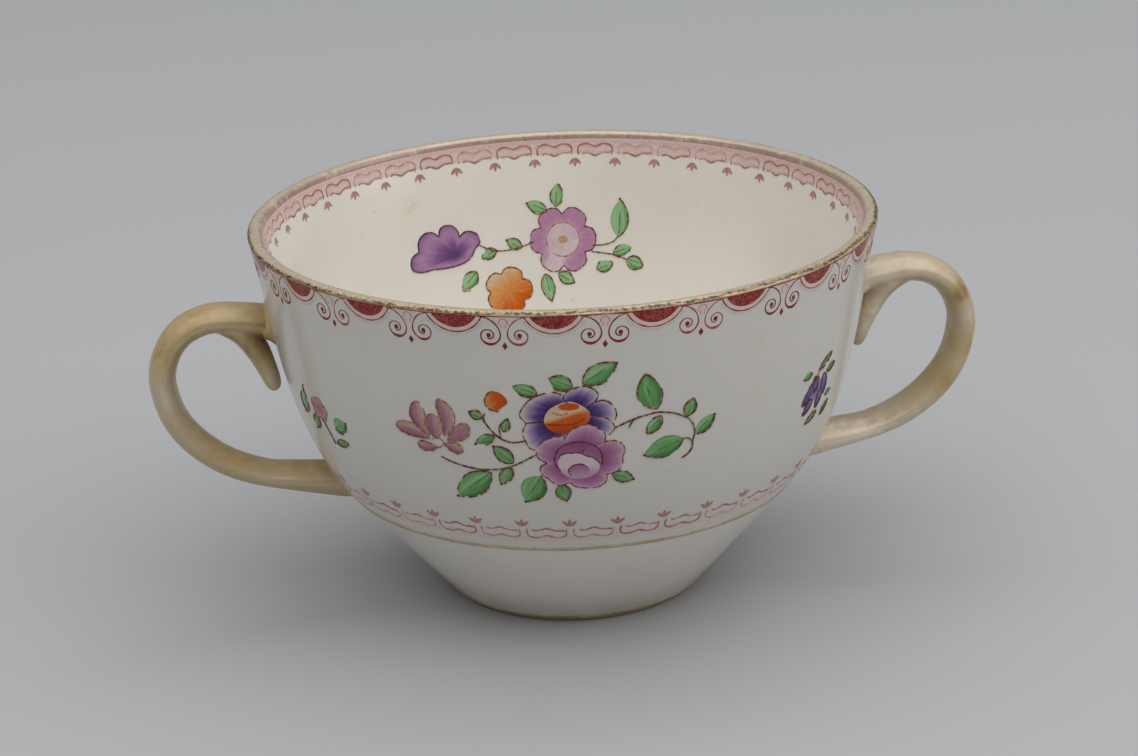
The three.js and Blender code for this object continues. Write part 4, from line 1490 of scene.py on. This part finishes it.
INNER_STEMS = [
    [(-12.6, 43.4), (-9, 42.1), (-4, 42.1), (0.4, 43)],
    [(13.6, 42), (16.5, 42.2), (18.6, 42.8), (19.4, 43.6)],
    [(13.4, 41), (17, 40.7), (19.6, 40.4), (21.6, 39.8)],
]


def inner_rose_tone(angles, heights):
    """Pink round a pale heart, faded on the lower left petal."""
    (angle, height), (half_turn, half_rise) = INNER_ROSE
    reach = np.hypot((angles - angle) / half_turn, (heights - height) / half_rise)
    beside = (angles - INNER_ROSE_FADE[0]) / INNER_ROSE_FADE_SIZE[0]
    above = (heights - INNER_ROSE_FADE[1]) / INNER_ROSE_FADE_SIZE[1]
    faded = INNER_ROSE_FADE_SHARE * np.exp(-(beside**2) - above**2)
    return np.clip(np.interp(reach, INNER_ROSE_REACH, INNER_ROSE_TONES) + faded, 0, 1)


inner_orange_tone = leaning_tone(0.35, (-6.9, 34.5), (0.03, -0.07), (0.03, 0.6))

spray = Spray("inner_spray", on_inside, INNER_SPRAY_HEIGHT, 0, seed=51, leaf_tone=INNER_LEAF_TONE)
for leaf in INNER_LEAVES:
    spray.leaf(*leaf)
for stem in INNER_STEMS:
    spray.ink(stem, broken=STEM_BREAKS)
spray.petals("purple", INNER_HEART, INNER_FAN, INNER_FAN_TONE, line=PLUM_INK)
blossom(spray, "orange", *INNER_ORANGE, inner_orange_tone)
blossom(spray, "rose", *INNER_ROSE, inner_rose_tone, count=6)
middle, size = INNER_ROSE
heart_edge = oval(middle, [half * INNER_ROSE_HEART for half in size])
spray.layers["rose"].fan(middle, heart_edge, INNER_ROSE_HEART_TONE, closed=True, layer=3)
spray.layers["lines"].dot(middle, INNER_ROSE_EYE, tone=1)
spray.ink(heart_edge, TAN_INK, closed=True)
spray.fire()

# The gilding: lines of liquid gold brushed on the turning cup after the enamels, round the lip, the waist and
# the foot. They have worn to a pale cream on top of the lip and to a thin olive brown elsewhere.
GILT_LIFT = 0.05
GILT_SINK = 0.04
GILT_WANDER = 0.05
WANDER_WAVES = 4
WANDER_BEATS = (2, 3, 5, 8, 13)
WANDER_SIZES = (0.4, 1)
RIM_GILT_START = 10
RIM_GILT_DEPTH = 0.45
RIM_GILT_ROWS = (0.33, 0.67, 1)
RIM_TONE_LEAN = 0.05
RIM_BARE = (0.82, 1.0)
RIM_DRIFT = 0.06
WAIST_LINE = (18.85, 19.55)
WAIST_SIDE = (0.9, -0.43)
WAIST_SPANS = {"front": (188, 352), "back": (8, 172)}
WAIST_TONES = (0.75, 1, 1, 0.75)
WAIST_BARE = (0.74, 0.95)
FOOT_LINE = (0.6, 1.4)
FOOT_SIDE = (0.75, -0.66)
FOOT_TONES = (0.4, 0.55, 0.6, 0.5)
FOOT_BARE = (0.95, 1.1)
LINE_DRIFT = 0.22
GILT_SHEEN = 0.35
GILT_ROUGHNESS = (0.24, 0.45)
GILT_PITS = (0.2, 0.0001)
GILT_EDGE = (0.3, 0.2, 0.075)
GILT_OLIVE = (0.4, 0.31, 0.15)
GILT_WORN = (0.6, 0.49, 0.32)
GILT_BARE = (0.67, 0.555, 0.41)
GILT_ROSY = (0.5, 0.385, 0.325)
GILT_ROSY_DEEP = (0.46, 0.315, 0.265)
GILT_GRIME = (0.085, 0.052, 0.016)


def gilt_band(skin, sides):
    """A closed profile: a skin lifted off the glaze along its outward sides, with its underside sunk in."""
    skin, sides = np.array(skin, float), np.array(sides, float)
    return np.vstack([skin + sides * GILT_LIFT, (skin - sides * GILT_SINK)[::-1]])


def gilt_wander(seed):
    """How far a band's edge strays at each angle round the cup, in slow waves."""
    draw = random.Random(seed)
    waves = []
    for _ in range(WANDER_WAVES):
        waves.append((draw.choice(WANDER_BEATS), draw.uniform(0, 6), draw.uniform(*WANDER_SIZES)))

    def stray(angle):
        return GILT_WANDER * sum(size * math.sin(beat * angle + lag) for beat, lag, size in waves) / 2

    return stray


def gilding(name, stops, breaks, drift, dirt):
    """Worn gold: a colour across the band that drifts along it, with bare flecks and specks of grime.
    The breaks give the range where flecks turn bare. The dirt gives pairs of a place across the band
    and the share of specks there."""
    finish = Finish(name)
    tone = finish.attribute("tone")
    flecks = finish.noise(700)
    wear = finish.noise(160, detail=5)
    shifted = finish.math("ADD", tone, finish.step(wear, 0.3, 0.7, -drift, drift), clamp=True)
    colour = finish.ramp(shifted, stops)
    bare = finish.step(finish.math("ADD", flecks, finish.math("MULTIPLY", wear, 0.5)), *breaks)
    colour = finish.mix(bare, colour, GILT_BARE)
    dirty = finish.ramp(shifted, [(place, (share, share, share)) for place, share in dirt])
    specks = finish.math("MULTIPLY", dirty, finish.step(finish.noise(1500, detail=2), 0.46, 0.56))
    finish.set(colour=finish.mix(specks, colour, GILT_GRIME), metallic=GILT_SHEEN)
    finish.set(roughness=finish.step(flecks, 0.3, 0.7, *GILT_ROUGHNESS))
    finish.set(bump=finish.bump(flecks, *GILT_PITS))
    return finish


def gild(name, node, profile, tones, finish, span=(0, 360), lean=0):
    """Turns a band and sets it in the place of its solid. Its tones may lean up towards the left handle."""
    last = len(profile) // 2 - 1
    edges = {}
    for edge, inside in ((0, 1), (last, last - 1)):
        along = profile[edge] - profile[inside]
        edges[edge] = along / np.linalg.norm(along), gilt_wander(f"{name} {edge}")

    def wander(row, angle):
        edge = min(row, 2 * last + 1 - row)
        if edge not in edges:
            return 0, 0
        along, wave = edges[edge]
        return along * wave(angle)

    band = turned(name, profile, finish, closed=True, span=span, wander=wander)
    spots = np.array([vertex.co for vertex in band.data.vertices])
    leaning = lean * (1 - spots[:, 0] / np.hypot(spots[:, 0], spots[:, 1]))
    mark(band, "tone", np.tile(tones, len(spots) // len(profile)) + leaning)
    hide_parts(node)
    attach(band, "root")


lip_skin = arc(lip_middle, lip_size, RIM_GILT_START, 180, LIP_STEPS)
lip_turns = np.radians(np.linspace(RIM_GILT_START, 180, LIP_STEPS + 1))
lip_sides = np.column_stack([np.cos(lip_turns) / lip_size[0], np.sin(lip_turns) / lip_size[1]])
lip_sides /= np.linalg.norm(lip_sides, axis=1)[:, None]
inside_heights = LIP_HEIGHT - RIM_GILT_DEPTH * np.array(RIM_GILT_ROWS)
inside_skin = [(inner_radius(height), height) for height in inside_heights]
rim_profile = gilt_band([*lip_skin, *inside_skin], [*lip_sides, *[(-1, 0)] * len(inside_skin)])
rim_share = np.linspace(0, 1, len(rim_profile) // 2)
rim_stops = [
    (0, GILT_WORN),
    (0.07, GILT_BARE),
    (0.12, GILT_EDGE),
    (0.22, GILT_OLIVE),
    (0.31, GILT_BARE),
    (0.6, GILT_BARE),
    (0.74, GILT_ROSY),
    (1, GILT_ROSY_DEEP),
]
rim_dirt = [(0, 0.3), (0.08, 0.3), (0.12, 1), (0.23, 1), (0.32, 0.15), (0.5, 0.1)]
rim_tones = [*rim_share, *rim_share[::-1]]
rim_gold = gilding("rim_gold", rim_stops, RIM_BARE, RIM_DRIFT, rim_dirt)
gild("rim_gilt_band", "rim_gilding", rim_profile, rim_tones, rim_gold, lean=RIM_TONE_LEAN)

line_stops = [(0, GILT_EDGE), (0.5, GILT_OLIVE), (1, GILT_WORN)]
line_dirt = [(0.06, 1), (0.34, 0)]
line_gold = gilding("line_gold", line_stops, WAIST_BARE, LINE_DRIFT, line_dirt)
waist_heights = np.linspace(*WAIST_LINE, len(WAIST_TONES))
waist_skin = [(outer_radius(height), height) for height in waist_heights]
waist_profile = gilt_band(waist_skin, [WAIST_SIDE] * len(waist_skin))
for side_name, span in WAIST_SPANS.items():
    line_name, node = f"{side_name}_waist_gilt_line", f"{side_name}_waist_gilding"
    gild(line_name, node, waist_profile, WAIST_TONES * 2, line_gold, span)
foot_gold = gilding("foot_gold", line_stops, FOOT_BARE, LINE_DRIFT, line_dirt)
foot_heights = np.linspace(*FOOT_LINE, len(FOOT_TONES))
foot_skin = [(FOOT_RADIUS + CONE_LEAN * height, height) for height in foot_heights]
foot_profile = gilt_band(foot_skin, [FOOT_SIDE] * len(foot_skin))
gild("foot_gilt_line", "foot_gilding", foot_profile, FOOT_TONES * 2, foot_gold)
